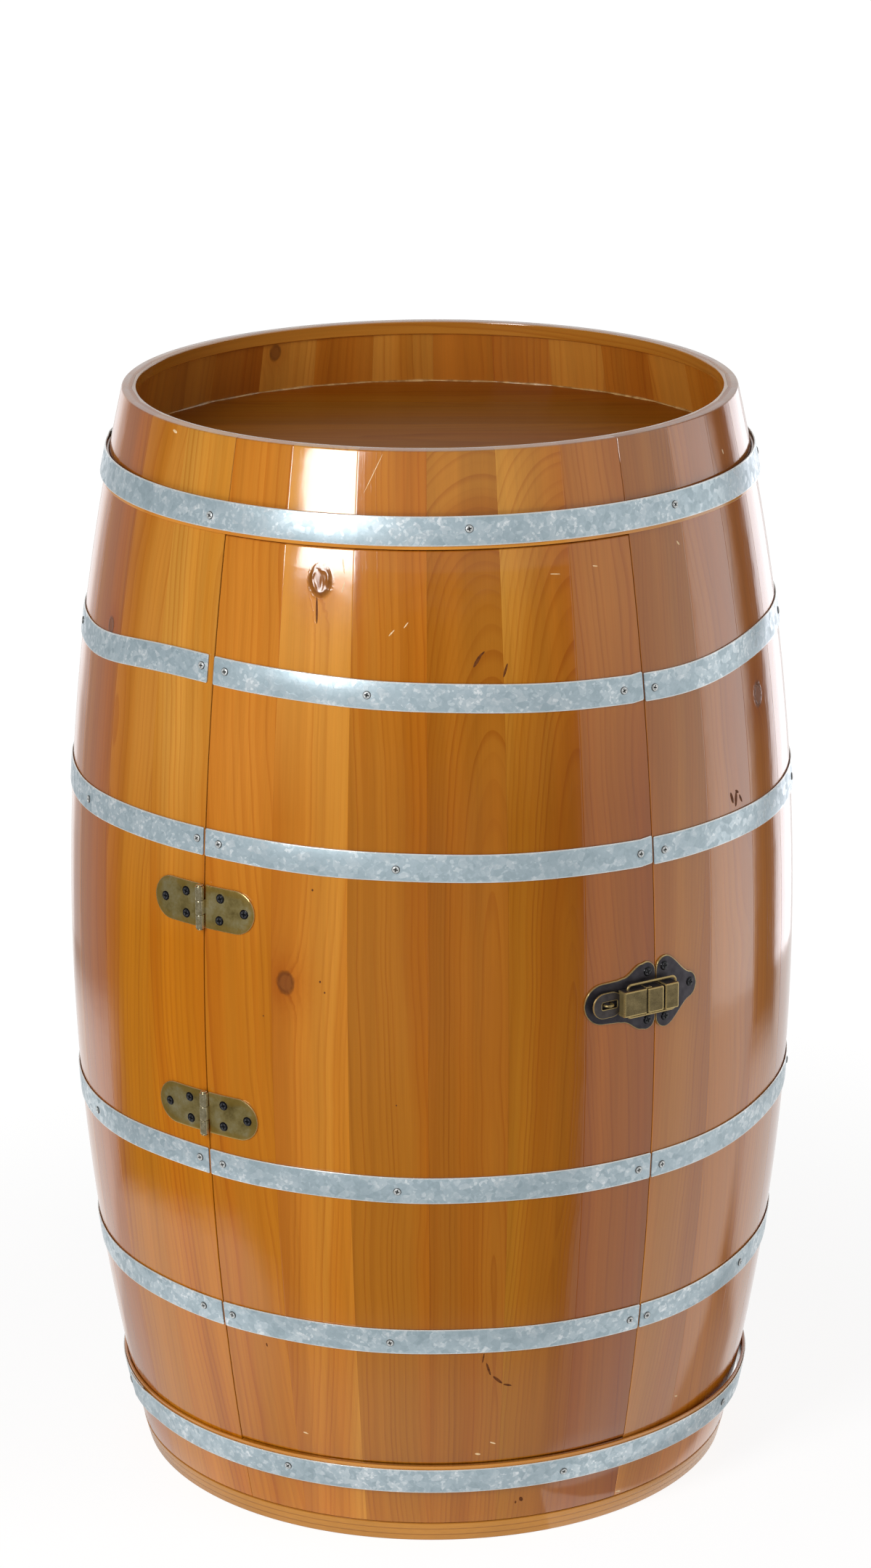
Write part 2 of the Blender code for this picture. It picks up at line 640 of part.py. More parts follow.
plate = latch_piece("latch_plate", bent_plate(latch_plate_outline(), DOOR_HALF_ANGLE, LATCH_RISE,
                                              LATCH_PLATE_THICKNESS))
combine(plate, "latch_housing", boss(HOUSING_START, HOUSING_END, -HOUSING_HALF_HEIGHT,
                                     HOUSING_HALF_HEIGHT, HOUSING_FRONT), "UNION")
pivot = Vector((LEVER_PIVOT_U, 0, LEVER_PIVOT_N))
lug_inner = HOUSING_HALF_HEIGHT - LEVER_LUG_WIDTH
for number, side in enumerate((-1, 1)):
    low, high = sorted((side * lug_inner, side * HOUSING_HALF_HEIGHT))
    lug = boss(LEVER_PIVOT_U - LEVER_CURL_RADIUS, HOUSING_START + FIT, low, high, LEVER_PIVOT_N)
    combine(plate, f"latch_lug_{number}", lug, "UNION")
    crown = rod(pivot + Vector((0, (low + high) / 2, 0)), LEVER_CURL_RADIUS, LEVER_LUG_WIDTH, "Y")
    combine(plate, f"latch_lug_crown_{number}", crown, "UNION")
combine(plate, "latch_pin", rod(pivot, LEVER_PIN_RADIUS, 2 * lug_inner + LEVER_LUG_WIDTH, "Y"), "UNION")


def staple_loop():
    """Padlock staple: an arch of flat bar standing on the plate."""
    outer = arc((STAPLE_U, STAPLE_SPRING_N), STAPLE_RADIUS, 0, 180)
    inner = arc((STAPLE_U, STAPLE_SPRING_N), STAPLE_RADIUS - STAPLE_BAR, 180, 0)
    plan = [(outer[0][0], plate_middle(outer[0][0]))] + outer
    plan += [(u, plate_middle(u)) for u in (outer[-1][0], inner[0][0])]
    plan += inner + [(inner[-1][0], plate_middle(inner[-1][0]))]
    return loft([[Vector((u, v, n)) for u, n in plan] for v in (-STAPLE_BAR / 2, STAPLE_BAR / 2)])


combine(plate, "latch_staple", staple_loop(), "UNION")
door_pieces.append(plate)

catch = latch_piece("latch_catch", bent_plate(catch_plate_outline(), DOOR_HALF_ANGLE, LATCH_RISE,
                                              LATCH_PLATE_THICKNESS))
combine(catch, "latch_catch_block", boss(CATCH_START, CATCH_END, -CATCH_HALF_HEIGHT,
                                         CATCH_HALF_HEIGHT, CATCH_FRONT), "UNION")

# Lever: folded channel with a curl round the pivot pin and a slotted tail over the staple
lever = add_object("latch_lever", box((LEVER_START, -LEVER_HALF_HEIGHT, LEVER_BACK),
                                      (LEVER_WALL_END, LEVER_HALF_HEIGHT, LEVER_FRONT)),
                   BRONZE, latch_frame)
pocket_half = LEVER_HALF_HEIGHT - LEVER_WALL
front_inner = LEVER_FRONT - LEVER_WALL
combine(lever, "lever_pocket", box((LEVER_START + LEVER_WALL, -pocket_half, -LEVER_FRONT),
                                   (LEVER_WALL_END + LEVER_FRONT, pocket_half, front_inner)),
        "DIFFERENCE")
tongue_half = lug_inner - FIT
combine(lever, "lever_tongue", box((LEVER_WALL_END - LEVER_WALL, -tongue_half, front_inner),
                                   (LEVER_PIVOT_U, tongue_half, LEVER_FRONT)), "UNION")
combine(lever, "lever_curl", rod(pivot, LEVER_CURL_RADIUS, 2 * tongue_half, "Y"), "UNION")
tail_end = arc((TAIL_END + LEVER_HALF_HEIGHT, 0), LEVER_HALF_HEIGHT, 90, 270)
tail_plan = [(LEVER_START + LEVER_WALL / 2, LEVER_HALF_HEIGHT)] + tail_end
tail_plan += [(LEVER_START + LEVER_WALL / 2, -LEVER_HALF_HEIGHT)]
combine(lever, "lever_tail", loft([[Vector((u, v, n)) for u, v in tail_plan]
                                   for n in (LEVER_BACK, LEVER_BACK + LEVER_WALL)]), "UNION")
combine(lever, "lever_slot", box((SLOT_START, -SLOT_HALF_HEIGHT, LEVER_BACK - LEVER_WALL),
                                 (SLOT_END, SLOT_HALF_HEIGHT, LEVER_BACK + 2 * LEVER_WALL)),
        "DIFFERENCE")
combine(lever, "lever_bore", rod(pivot, LEVER_PIN_RADIUS + FIT, 4 * LEVER_HALF_HEIGHT, "Y"),
        "DIFFERENCE")
bail_pivot = Vector((BAIL_PIVOT_U, 0, BAIL_N))
bail_hole = rod(bail_pivot, BAIL_WIRE_RADIUS + FIT, 4 * LEVER_HALF_HEIGHT, "Y")
combine(lever, "lever_bail_holes", bail_hole, "DIFFERENCE")

# Bail: one bent wire from the lever's sides round the back of the catch
bar_u = CATCH_END + BAIL_SLACK + BAIL_WIRE_RADIUS
turn_in = BAIL_CORNER_RADIUS
upper_wire = [(BAIL_PIVOT_U, pocket_half)]
upper_wire += arc((BAIL_PIVOT_U + turn_in, BAIL_HALF_HEIGHT - turn_in), turn_in, 180, 90)
upper_wire += arc((bar_u - turn_in, BAIL_HALF_HEIGHT - turn_in), turn_in, 90, 0)
wire_points = upper_wire + [(u, -v) for u, v in upper_wire[::-1]]
wire = bpy.data.curves.new("latch_bail", "CURVE")
wire.dimensions = "3D"
wire.bevel_depth = BAIL_WIRE_RADIUS
wire.bevel_resolution = WIRE_RESOLUTION
wire.use_fill_caps = True
spline = wire.splines.new("POLY")
spline.points.add(len(wire_points) - 1)
for point, (u, v) in zip(spline.points, wire_points):
    point.co = (u - BAIL_PIVOT_U, v, 0, 1)
wire.materials.append(BRASS)
bail = bpy.data.objects.new("latch_bail", wire)
bail.matrix_world = latch_frame @ Matrix.Translation(bail_pivot)
bpy.context.collection.objects.link(bail)

# Joint axes
moving_group("door_axis", hinge_axis, door_pieces)
moving_group("lever_axis", latch_frame @ pivot, [lever])
moving_group("bail_axis", latch_frame @ bail_pivot, [bail])
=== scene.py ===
import math

import bmesh
import bpy
import numpy as np
from mathutils import Matrix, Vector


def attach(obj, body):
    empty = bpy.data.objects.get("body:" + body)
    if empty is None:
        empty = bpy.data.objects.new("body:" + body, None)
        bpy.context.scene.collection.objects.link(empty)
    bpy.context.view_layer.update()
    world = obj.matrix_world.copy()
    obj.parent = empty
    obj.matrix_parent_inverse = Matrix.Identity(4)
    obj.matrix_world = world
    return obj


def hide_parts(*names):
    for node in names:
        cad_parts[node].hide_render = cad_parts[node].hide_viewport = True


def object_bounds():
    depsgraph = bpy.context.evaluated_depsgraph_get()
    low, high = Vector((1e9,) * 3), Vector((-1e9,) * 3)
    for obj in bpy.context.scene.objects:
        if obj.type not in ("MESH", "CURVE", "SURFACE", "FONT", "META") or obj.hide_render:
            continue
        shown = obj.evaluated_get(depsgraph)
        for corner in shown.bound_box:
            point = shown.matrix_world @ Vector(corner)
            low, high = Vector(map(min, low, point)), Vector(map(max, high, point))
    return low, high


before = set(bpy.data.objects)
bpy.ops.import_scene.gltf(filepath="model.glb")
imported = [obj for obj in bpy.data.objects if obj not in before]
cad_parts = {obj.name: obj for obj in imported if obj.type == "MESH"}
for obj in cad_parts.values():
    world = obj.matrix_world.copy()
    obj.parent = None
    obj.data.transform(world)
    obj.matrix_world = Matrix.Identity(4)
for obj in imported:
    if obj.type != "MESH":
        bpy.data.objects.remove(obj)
cad_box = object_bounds()

# Base board: a plywood disc that the staves stand on, cut flush with them and lacquered with the rest.
# Its edge shows the plies as pale and dark lines.
HEIGHT = cad_box[1].z
BELLY_RADIUS = cad_box[1].x
END_RADIUS = 0.2178
BOW_RISE = BELLY_RADIUS - END_RADIUS
BOW_RADIUS = ((HEIGHT / 2) ** 2 + BOW_RISE ** 2) / (2 * BOW_RISE)
BASE_THICKNESS = 0.015
BASE_ARRIS = 0.0007
BASE_SIDES = 180
BASE_POLE = 0.0005
PLY_COUNT = 6
FIT = 0.0003
SHARP_ANGLE = math.radians(32)


def bow(height):
    """Outer radius of the barrel: a shallow arc of one radius, widest at half height."""
    rise = np.asarray(height) - HEIGHT / 2
    return BELLY_RADIUS - BOW_RADIUS + np.sqrt(BOW_RADIUS ** 2 - rise ** 2)


def around(angle, radius, height):
    """Points at angles from the door's middle towards +X, distances from the axis and heights."""
    return np.stack(np.broadcast_arrays(radius * np.sin(angle), -radius * np.cos(angle), height), axis=-1)


def shell(grid, loop=False, **fields):
    """Skin over grid[copy, row, column]: each row joins the next, and the columns close into a ring.

    loop joins the last row to the first, and otherwise the two end rows are filled. fields are values per
    point, spread over the grid.
    """
    grid = np.asarray(grid, float)
    if grid.ndim == 3:
        grid = grid[None]
    index = np.arange(grid[..., 0].size).reshape(grid.shape[:3])
    lower, upper = (index, np.roll(index, -1, 1)) if loop else (index[:, :-1], index[:, 1:])
    quads = np.stack([lower, np.roll(lower, -1, 2), np.roll(upper, -1, 2), upper], -1)
    faces = quads.reshape(-1, 4).tolist()
    if not loop:
        faces += index[:, 0, ::-1].tolist() + index[:, -1].tolist()
    spread = {}
    for name, values in fields.items():
        values = np.asarray(values, float)
        width = values.shape[-1]
        spread[name] = np.broadcast_to(values, (*grid.shape[:3], width)).reshape(-1, width)
    return {"points": grid.reshape(-1, 3), "faces": faces, "fields": spread}


def piece(name, shells, material, body, slot, *nodes):
    """Object made of shells, riding on a body and standing for the named nodes."""
    points = np.concatenate([part["points"] for part in shells])
    starts = np.cumsum([0] + [len(part["points"]) for part in shells])
    faces = [[start + corner for corner in face]
             for part, start in zip(shells, starts) for face in part["faces"]]
    mesh = bpy.data.meshes.new(name)
    mesh.from_pydata(points.tolist(), [], faces)
    bm = bmesh.new()
    bm.from_mesh(mesh)
    bmesh.ops.recalc_face_normals(bm, faces=bm.faces)
    bm.to_mesh(mesh)
    bm.free()
    for field in shells[0]["fields"]:
        values = np.concatenate([part["fields"][field] for part in shells]).astype(np.float32)
        kind, key = {1: ("FLOAT", "value"), 3: ("FLOAT_VECTOR", "vector")}[values.shape[1]]
        mesh.attributes.new(field, kind, "POINT").data.foreach_set(key, values.ravel())
    mesh.shade_smooth()
    mesh.set_sharp_from_angle(angle=SHARP_ANGLE)
    mesh.materials.append(material)
    made = bpy.data.objects.new(name, mesh)
    bpy.context.scene.collection.objects.link(made)
    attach(made, body)
    if nodes:
        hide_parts(*nodes)


class Socket:
    """A shader socket; an operator on it adds the Math node that works it out."""

    def __init__(self, tree, link=None):
        self.tree = tree
        self.link = link

    def node(self, kind, settings=None, sockets=None, output=0):
        """Adds a node of a kind, sets its settings, then gives its sockets their values or links."""
        made = self.tree.nodes.new("ShaderNode" + kind)
        for key, value in (settings or {}).items():
            if key == "stops":
                ramp = made.color_ramp.elements
                while len(ramp) < len(value):
                    ramp.new(0.5)
                for stop, (place, colour) in zip(ramp, value):
                    stop.position = place
                    stop.color = (*colour, 1)
            else:
                setattr(made, key, value)
        for key, value in (sockets or {}).items():
            if isinstance(value, Socket):
                self.tree.links.new(value.link, made.inputs[key])
            else:
                made.inputs[key].default_value = value
        return Socket(self.tree, made.outputs[output] if made.outputs else None)

    def math(self, operation, *others):
        return self.node("Math", {"operation": operation}, dict(enumerate((self, *others))))

    def flipped(self, operation, other):
        return self.node("Math", {"operation": operation}, {0: other, 1: self})

    def __add__(self, other):
        return self.math("ADD", other)

    def __sub__(self, other):
        return self.math("SUBTRACT", other)

    def __rsub__(self, other):
        return self.flipped("SUBTRACT", other)

    def __mul__(self, other):
        return self.math("MULTIPLY", other)

    def __truediv__(self, other):
        return self.math("DIVIDE", other)

    def __pow__(self, other):
        return self.math("POWER", other)

    __radd__ = __add__
    __rmul__ = __mul__

    def step(self, low, high):
        """0 below low, 1 above high and a smooth rise between them; falls where low is the larger."""
        return self.node("MapRange", {"interpolation_type": "SMOOTHSTEP"},
                         {"Value": self, "From Min": low, "From Max": high})

    def split(self):
        """The three parts of a vector."""
        return [self.node("SeparateXYZ", None, {0: self}, part) for part in range(3)]

    def vector(self, x, y, z):
        return self.node("CombineXYZ", None, {0: x, 1: y, 2: z})

    def noise(self, scale, detail=2.0, roughness=0.5):
        """Soft noise about 0, from -0.5 to 0.5, read at this vector."""
        return self.node("TexNoise", None, {"Vector": self, "Scale": scale, "Detail": detail,
                                            "Roughness": roughness}) - 0.5

    def ramp(self, *stops):
        """Colour at this value, from stops of (value, colour)."""
        return self.node("ValToRGB", {"stops": stops}, {0: self})

    def mix(self, other, factor):
        """This colour going over to another as the factor goes from 0 to 1."""
        return self.node("Mix", {"data_type": "RGBA"}, {0: factor, 6: self, 7: other}, 2)

    def tinted(self, factor):
        """This colour or vector times a number."""
        return self.node("VectorMath", {"operation": "SCALE"}, {0: self, "Scale": factor})

    def filtered(self, colour):
        """This colour times another, channel by channel."""
        return self.node("VectorMath", {"operation": "MULTIPLY"}, {0: self, 1: colour})

    def field(self, name, output="Vector"):
        return self.node("Attribute", {"attribute_name": name}, output=output)

    def place(self):
        """The point on the piece, in metres."""
        return self.node("TexCoord", output="Object")


def finish(name, draw, **constants):
    """Principled material: draw links what varies, and the constants go on the sockets themselves."""
    material = bpy.data.materials.new(name)
    material.use_nodes = True
    tree = material.node_tree
    shader = tree.nodes["Principled BSDF"]
    for key, value in constants.items():
        shader.inputs[key.replace("_", " ")].default_value = value
    for key, value in draw(Socket(tree)).items():
        tree.links.new(value.link, shader.inputs[key])
    return material


def colour(red, green, blue):
    """A linear colour as a socket takes it."""
    return (red, green, blue, 1.0)


def bumped(height, depth):
    """Normal of a surface that a height from 0 to 1 lifts by up to a depth in metres."""
    return height.node("Bump", None, {"Height": height, "Strength": 1.0, "Distance": depth})


def draw_plywood(k):
    """Plies as bands by height, broken by fibre noise that is stretched round the edge."""
    point = k.place()
    x, y, z = point.split()
    fibre = k.vector(x * 160, y * 160, z * 900).noise(1.0, 4.0)
    ply = ((z / BASE_THICKNESS + fibre * 0.02) * PLY_COUNT).math("PINGPONG", 1.0)
    band = ply.step(0.04, 0.26)
    tone = point.noise(14.0, 3.0)
    base = band.ramp((0.0, (0.40, 0.155, 0.024)), (1.0, (0.56, 0.240, 0.040)))
    base = base.tinted(1.0 + tone * 0.35 + fibre * 0.25)
    return {"Base Color": base, "Roughness": 0.24 + tone * 0.15, "Normal": bumped(fibre + band, 0.00012)}


plywood = finish("lacquered_plywood", draw_plywood, Specular_IOR_Level=0.5)


def turned(profile, sides):
    """Ring or disc: a profile of (radius, height) carried round the barrel's axis."""
    angle = np.linspace(0, 2 * np.pi, sides, endpoint=False)
    radius, height = np.array(profile, float).T[..., None]
    return around(angle, radius, height)


base_profile = [
    (BASE_POLE, 0.0),
    (bow(0) - BASE_ARRIS, 0.0),
    (bow(0), BASE_ARRIS),
    (bow(BASE_THICKNESS), BASE_THICKNESS - BASE_ARRIS),
    (bow(BASE_THICKNESS) - BASE_ARRIS, BASE_THICKNESS),
    (BASE_POLE, BASE_THICKNESS),
]
piece("base_board_disc", [shell(turned(base_profile, BASE_SIDES))], plywood, "carcass", "lacquered_plywood",
      "base_board")

# Body staves: bowed softwood planks glued edge to edge on the base board, sanded nearly round and
# lacquered. They run from one edge of the door opening round the back to the other.
STAVE_COUNT = 30
DOOR_STAVES = 6
STAVE_THICKNESS = 0.008
STAVE_ANGLE = 2 * np.pi / STAVE_COUNT
DOOR_HALF_ANGLE = STAVE_ANGLE * DOOR_STAVES / 2
STAVE_FLATNESS = 0.012
SIDE_ARRIS = 0.00004
WORN_ARRIS = 0.0003
END_ARRIS = 0.0010
GLUE_LINE = 0.00002
STAVE_ROWS = 48
EDGE_LEAN = 0.0049
EDGE_LEAN_FROM = 0.54
EDGE_PALING = 0.30
EDGE_PALING_TOP = 0.62
EDGE_PALING_FADE = 0.1
KNOT_REACH = 0.075
KNOT_MARGIN = 1.6
NO_KNOT = 0.0001
BODY_TINT_TURN = 0.52
DOOR_TINT_TURN = 0.62
TINT_SPREAD = 0.14
BASE_PALING = 0.22
BASE_PALING_TOP = 0.065
BASE_PALING_FADE = 0.05
SEED_STEP = 1.37
JUST_INSIDE = 0.9999

HONEY = (0.58, 0.250, 0.036)
AMBER = (0.49, 0.168, 0.014)
RUSSET = (0.46, 0.150, 0.010)
UMBER = (0.40, 0.125, 0.011)

# Boards chosen, by place round the barrel from the door's hinge side: colours of the upper and the
# lower part, how far the tree's pith lies to the side and behind the face, and knots as (across, height,
# radius)
CHOSEN_BOARDS = {
    0: ((0.53, 0.190, 0.022), (0.44, 0.148, 0.007), 0.062, 0.030, []),
    1: ((0.61, 0.262, 0.042), (0.485, 0.176, 0.016), -0.050, 0.020,
        [(0.0018, 0.714, 0.0075), (-0.0170, 0.436, 0.0056)]),
    2: ((0.47, 0.172, 0.019), (0.36, 0.125, 0.008), 0.055, 0.022, []),
    3: ((0.40, 0.150, 0.015), (0.34, 0.113, 0.007), 0.016, 0.030, []),
    4: ((0.46, 0.180, 0.022), (0.32, 0.109, 0.005), 0.015, 0.030, []),
    5: ((0.38, 0.128, 0.015), (0.29, 0.084, 0.006), 0.045, 0.030, []),
    6: ((0.35, 0.122, 0.014), (0.40, 0.142, 0.014), -0.060, 0.015, []),
    7: (UMBER, RUSSET, 0.030, 0.030, []),
    8: (UMBER, RUSSET, -0.040, 0.025, [(-0.0034, 0.600, 0.0060)]),
    20: (HONEY, HONEY, 0.020, 0.030, [(0.0125, 0.7825, 0.0042)]),
    27: (UMBER, UMBER, 0.050, 0.030, [(0.0085, 0.651, 0.0040)]),
    28: ((0.53, 0.212, 0.030), (0.46, 0.158, 0.005), -0.035, 0.024, []),
    29: ((0.57, 0.255, 0.040), (0.47, 0.155, 0.004), 0.048, 0.018, []),
}

# How much paler a board grows towards its right edge, in its upper and in its lower part
CROSS_TINTS = {1: (0.0, 0.13), 4: (-0.15, -0.12)}

# Ring spacing of a board, and for arched grain the height at which the pith has its depth and how fast
# that depth grows
PLAIN_GROWTH = (0.0042, 0.0, 0.0)
GROWTHS = {
    0: (0.0056, 0.0, 0.0),
    1: (0.0048, 0.0, 0.0),
    3: (0.0031, 0.655, 6.5),
    4: (0.0036, 0.690, 7.5),
    5: (0.0036, 0.0, 0.0),
    6: (0.0032, 0.0, 0.0),
    28: (0.0045, 0.0, 0.0),
    29: (0.0046, 0.0, 0.0),
}
CLEAR_WOOD = {"knot": (0, 0, NO_KNOT), "growth": PLAIN_GROWTH}
wood_draw = np.random.default_rng(11)


def any_board():
    """A board drawn at random from the stack: its colour, pith and no knot."""
    tones = np.array([HONEY, AMBER, RUSSET, UMBER])
    share = wood_draw.dirichlet([0.6] * len(tones))
    tint = tuple(share @ tones)
    return tint, tint, wood_draw.uniform(-0.06, 0.06), wood_draw.uniform(0.015, 0.04), []


boards = [CHOSEN_BOARDS.get(place) or any_board() for place in range(STAVE_COUNT)]


def skin(angle, height):
    """Radius of the staves' outside: a little of the way from the bow's circle to a flat on each stave."""
    off = (angle + DOOR_HALF_ANGLE) % STAVE_ANGLE - STAVE_ANGLE / 2
    radius = bow(height)
    return radius * (1 - STAVE_FLATNESS * (1 - np.cos(STAVE_ANGLE / 2) / np.cos(off)))


def edge_lean(height):
    """How far the door's latch-side edge stands off its joint: the saw cut leans in towards the top."""
    return EDGE_LEAN * (EDGE_LEAN_FROM - height) / bow(height)


def stave(place, bottom, top, left_gap, right_gap, rows):
    """Plank at a place round the barrel: rows are plans at a height, and columns go round the plan.

    The outside follows the skin and the inside is flat. The end rows follow a quarter circle that rounds
    the outer arris. Each point knows where it lies in its board, for the grain.
    """
    turn = np.linspace(0, np.pi / 2, 4)
    draw_in = END_ARRIS * (1 - np.sin(turn))
    rise = END_ARRIS * (1 - np.cos(turn))
    between = np.linspace(bottom + END_ARRIS, top - END_ARRIS, rows)[1:-1]
    height = np.concatenate([bottom + rise, between, (top - rise)[::-1]])[:, None]
    drawn = np.concatenate([draw_in, np.zeros_like(between), draw_in[::-1]])[:, None]
    outer = np.array([-1, -0.99, -0.97, -0.6, -0.2, 0.2, 0.6, 0.97, 0.99, 1])
    inner = np.array([1, 0, -1])
    share = np.concatenate([outer, inner])
    is_inner = np.arange(len(share)) >= len(outer)
    worn = [SIDE_ARRIS if gap == GLUE_LINE else WORN_ARRIS for gap in (left_gap, right_gap)]
    arris = np.where(share == -1, worn[0], np.where(share == 1, worn[1], 0))
    radius = bow(height)
    low = -STAVE_ANGLE / 2 + left_gap / radius + (place == DOOR_STAVES) * edge_lean(height)
    high = STAVE_ANGLE / 2 - right_gap / radius + (place == DOOR_STAVES - 1) * edge_lean(height)
    off = (low + high) / 2 + share * (high - low) / 2
    middle = STAVE_ANGLE * (place + 0.5) - DOOR_HALF_ANGLE
    inside = (radius - STAVE_THICKNESS) / np.cos(off)
    outside = skin(middle + off * JUST_INSIDE, height) - arris - drawn
    reach = np.where(is_inner, inside, outside)
    upper_tint, lower_tint, pith, pith_depth, knots = boards[place]
    turn_height = DOOR_TINT_TURN if 0 < place < DOOR_STAVES else BODY_TINT_TURN
    low_share = np.clip((turn_height - height) / TINT_SPREAD + 0.5, 0, 1)[..., None]
    upper_cross, lower_cross = CROSS_TINTS.get(place, (0, 0))
    across_share = share[:, None] * (1, 2, 3)
    tint = np.array(upper_tint) * (1 + upper_cross * across_share) * (1 - low_share)
    tint = tint + np.array(lower_tint) * (1 + lower_cross * across_share) * low_share
    foot = np.clip((BASE_PALING_TOP - height) / BASE_PALING_FADE, 0, 1)
    tint = tint * (1 + BASE_PALING * foot[..., None])
    rubbed = np.clip((EDGE_PALING_TOP - height) / EDGE_PALING_FADE, 0, 1)
    rubbed = rubbed * (share <= -0.99) * (place == DOOR_STAVES)
    tint = tint * (1 + EDGE_PALING * rubbed[..., None] * (1, 1.2, 2))
    grain = np.stack(np.broadcast_arrays(radius * off, height, radius - reach), -1)
    knot = np.zeros(height.shape + (3,)) + (0, 0, NO_KNOT)
    for across, along, size in knots:
        near = np.abs(height - along) < KNOT_REACH
        far = np.abs(height - along) < KNOT_REACH * KNOT_MARGIN
        knot = np.where(far[..., None], (across, along, NO_KNOT), knot)
        knot = np.where(near[..., None], (across, along, size), knot)
    return shell(around(middle + off, reach, height), grain=grain, knot=knot, tint=tint,
                 board=(pith, pith_depth, place * SEED_STEP), growth=GROWTHS.get(place, PLAIN_GROWTH))


def stave_row(places, bottom, top, first_gap, last_gap, rows):
    """Staves side by side and glued to each other, with a gap of its own at each end of the row."""
    glued = [GLUE_LINE] * (len(places) - 1)
    return [stave(place, bottom, top, left_gap, right_gap, rows)
            for place, left_gap, right_gap in zip(places, [first_gap, *glued], [*glued, last_gap])]


def draw_fir(k):
    """Growth rings as shells about a pith line behind the board, which sways and is pushed aside by a knot.

    The late wood darkens towards each ring's edge and stops sharply. Fibres and broad streaks vary the
    tone.
    """
    across, along, depth = k.field("grain").split()
    pith, pith_depth, seed = k.field("board").split()
    knot_across, knot_along, knot_size = k.field("knot").split()
    tint = k.field("tint")
    spacing, arch_start, arch_rate = k.field("growth").split()
    sway = k.vector(along * 2.4, seed * 9.0, across * 3.0).noise(1.0, 2.0)
    sink = k.vector(along * 5.0, seed * 9.0 + 40.0, across * 5.0).noise(1.0, 2.0)
    wander = k.vector(along * 18.0, seed * 9.0 + 80.0, across * 25.0).noise(1.0, 2.0)
    lump = k.vector(across * 240.0, along * 240.0, seed).noise(1.0, 2.0)
    knot_x = (across - knot_across) / knot_size
    knot_y = (along - knot_along) / knot_size * 0.75
    knot_far = (knot_x * knot_x + knot_y * knot_y) * (1 + lump * 0.9)
    push = (knot_far * -0.22).math("EXPONENT")
    lean = (seed * 1.9).math("COSINE") * 0.06
    from_side = across - pith + lean * (along - 0.4) + sway * 0.030 + wander * 0.003
    arch = ((along - arch_start) * arch_rate).math("EXPONENT")
    from_back = pith_depth * arch + depth + sink * 0.022
    radius = (from_side * from_side + from_back * from_back) ** 0.5 + push * knot_size * 1.3
    rings = radius / spacing + k.vector(radius * 70.0, seed, 0.0).noise(1.0, 2.0) * 2.6
    stage = rings.math("FRACT")
    weight = k.vector(rings.math("FLOOR") * 3.7, seed * 5.0, along * 1.6).noise(1.0, 1.0).step(-0.22, 0.25)
    late = stage.step(0.45, 0.93) * (1 - stage.step(0.94, 1.0)) * (0.10 + weight * 0.90)
    fibre = k.vector(across * 900.0, along * 12.0, seed * 31.0 + depth * 600.0).noise(1.0, 3.0, 0.6)
    streak = k.vector(across * 70.0, along * 1.7, seed * 17.0).noise(1.0, 2.0)
    warm = k.vector(radius * 40.0, along * 0.9, seed * 23.0).noise(1.0, 2.0).step(-0.10, 0.18)
    fleck = k.vector(across * 2300.0, along * 60.0, seed * 11.0).noise(1.0, 1.0).step(0.16, 0.3)
    base = tint.tinted(1.05 + streak * 0.46 + fibre * 0.24 - fleck * 0.10)
    base = base.mix(base.filtered((0.88, 0.75, 0.48)), warm)
    base = base.mix(base.filtered((0.72, 0.53, 0.36)), late * 0.58)
    halo = (knot_far * -0.12).math("EXPONENT")
    heart = knot_far.step(1.7, 0.35)
    rim = knot_far.step(0.35, 0.85) * knot_far.step(1.9, 1.05) * lump.step(-0.28, 0.08)
    base = base.mix(base.filtered((0.80, 0.60, 0.40)), halo * 0.7)
    base = base.mix(colour(0.15, 0.045, 0.008), heart * 0.68)
    base = base.mix(colour(0.060, 0.016, 0.004), rim * 0.5)
    point = k.place()
    wave = point.noise(26.0, 2.0)
    peel = point.noise(240.0, 1.0)
    inside = depth.step(0.003, 0.006)
    rough = 0.115 + point.noise(11.0, 4.0) * 0.06 + heart * 0.08 + inside * 0.2
    height = wave + peel * 0.05 + late * 0.05 + rim * 0.4 - fleck * 0.02
    return {"Base Color": base, "Roughness": rough, "Normal": bumped(height, 0.00022)}


fir = finish("lacquered_fir", draw_fir, Specular_IOR_Level=1.0)

stave_foot = BASE_THICKNESS + FIT
body_places = range(DOOR_STAVES, STAVE_COUNT)
body_row = stave_row(body_places, stave_foot, HEIGHT, FIT / 2, FIT / 2, STAVE_ROWS)
for number, plank in enumerate(body_row, 1):
    piece(f"stave_{number:02d}", [plank], fir, "carcass", "lacquered_fir", f"body_stave_{number:02d}")

# Header and sill: the short ends of the door's own staves, left above and below the cut opening.
# Each is six lengths glued side by side and to the staves beside them.
DOOR_GAP = 0.0012
HOOP_WIDTH = 0.0195
BAND_LIP = 0.0025
TOP_HOOP_RISE = HEIGHT - 0.051
BASE_HOOP_RISE = 0.054
SHORT_ROWS = 8
door_top = TOP_HOOP_RISE - HOOP_WIDTH / 2 - BAND_LIP - DOOR_GAP
door_bottom = BASE_HOOP_RISE + HOOP_WIDTH / 2 + BAND_LIP + DOOR_GAP
door_places = range(DOOR_STAVES)
for name, bottom, top in (("header", door_top + DOOR_GAP, HEIGHT),
                          ("sill", stave_foot, door_bottom - DOOR_GAP)):
    lengths = stave_row(door_places, bottom, top, FIT / 2, FIT / 2, SHORT_ROWS)
    piece(f"{name}_lengths", lengths, fir, "carcass", "lacquered_fir", f"door_{name}")

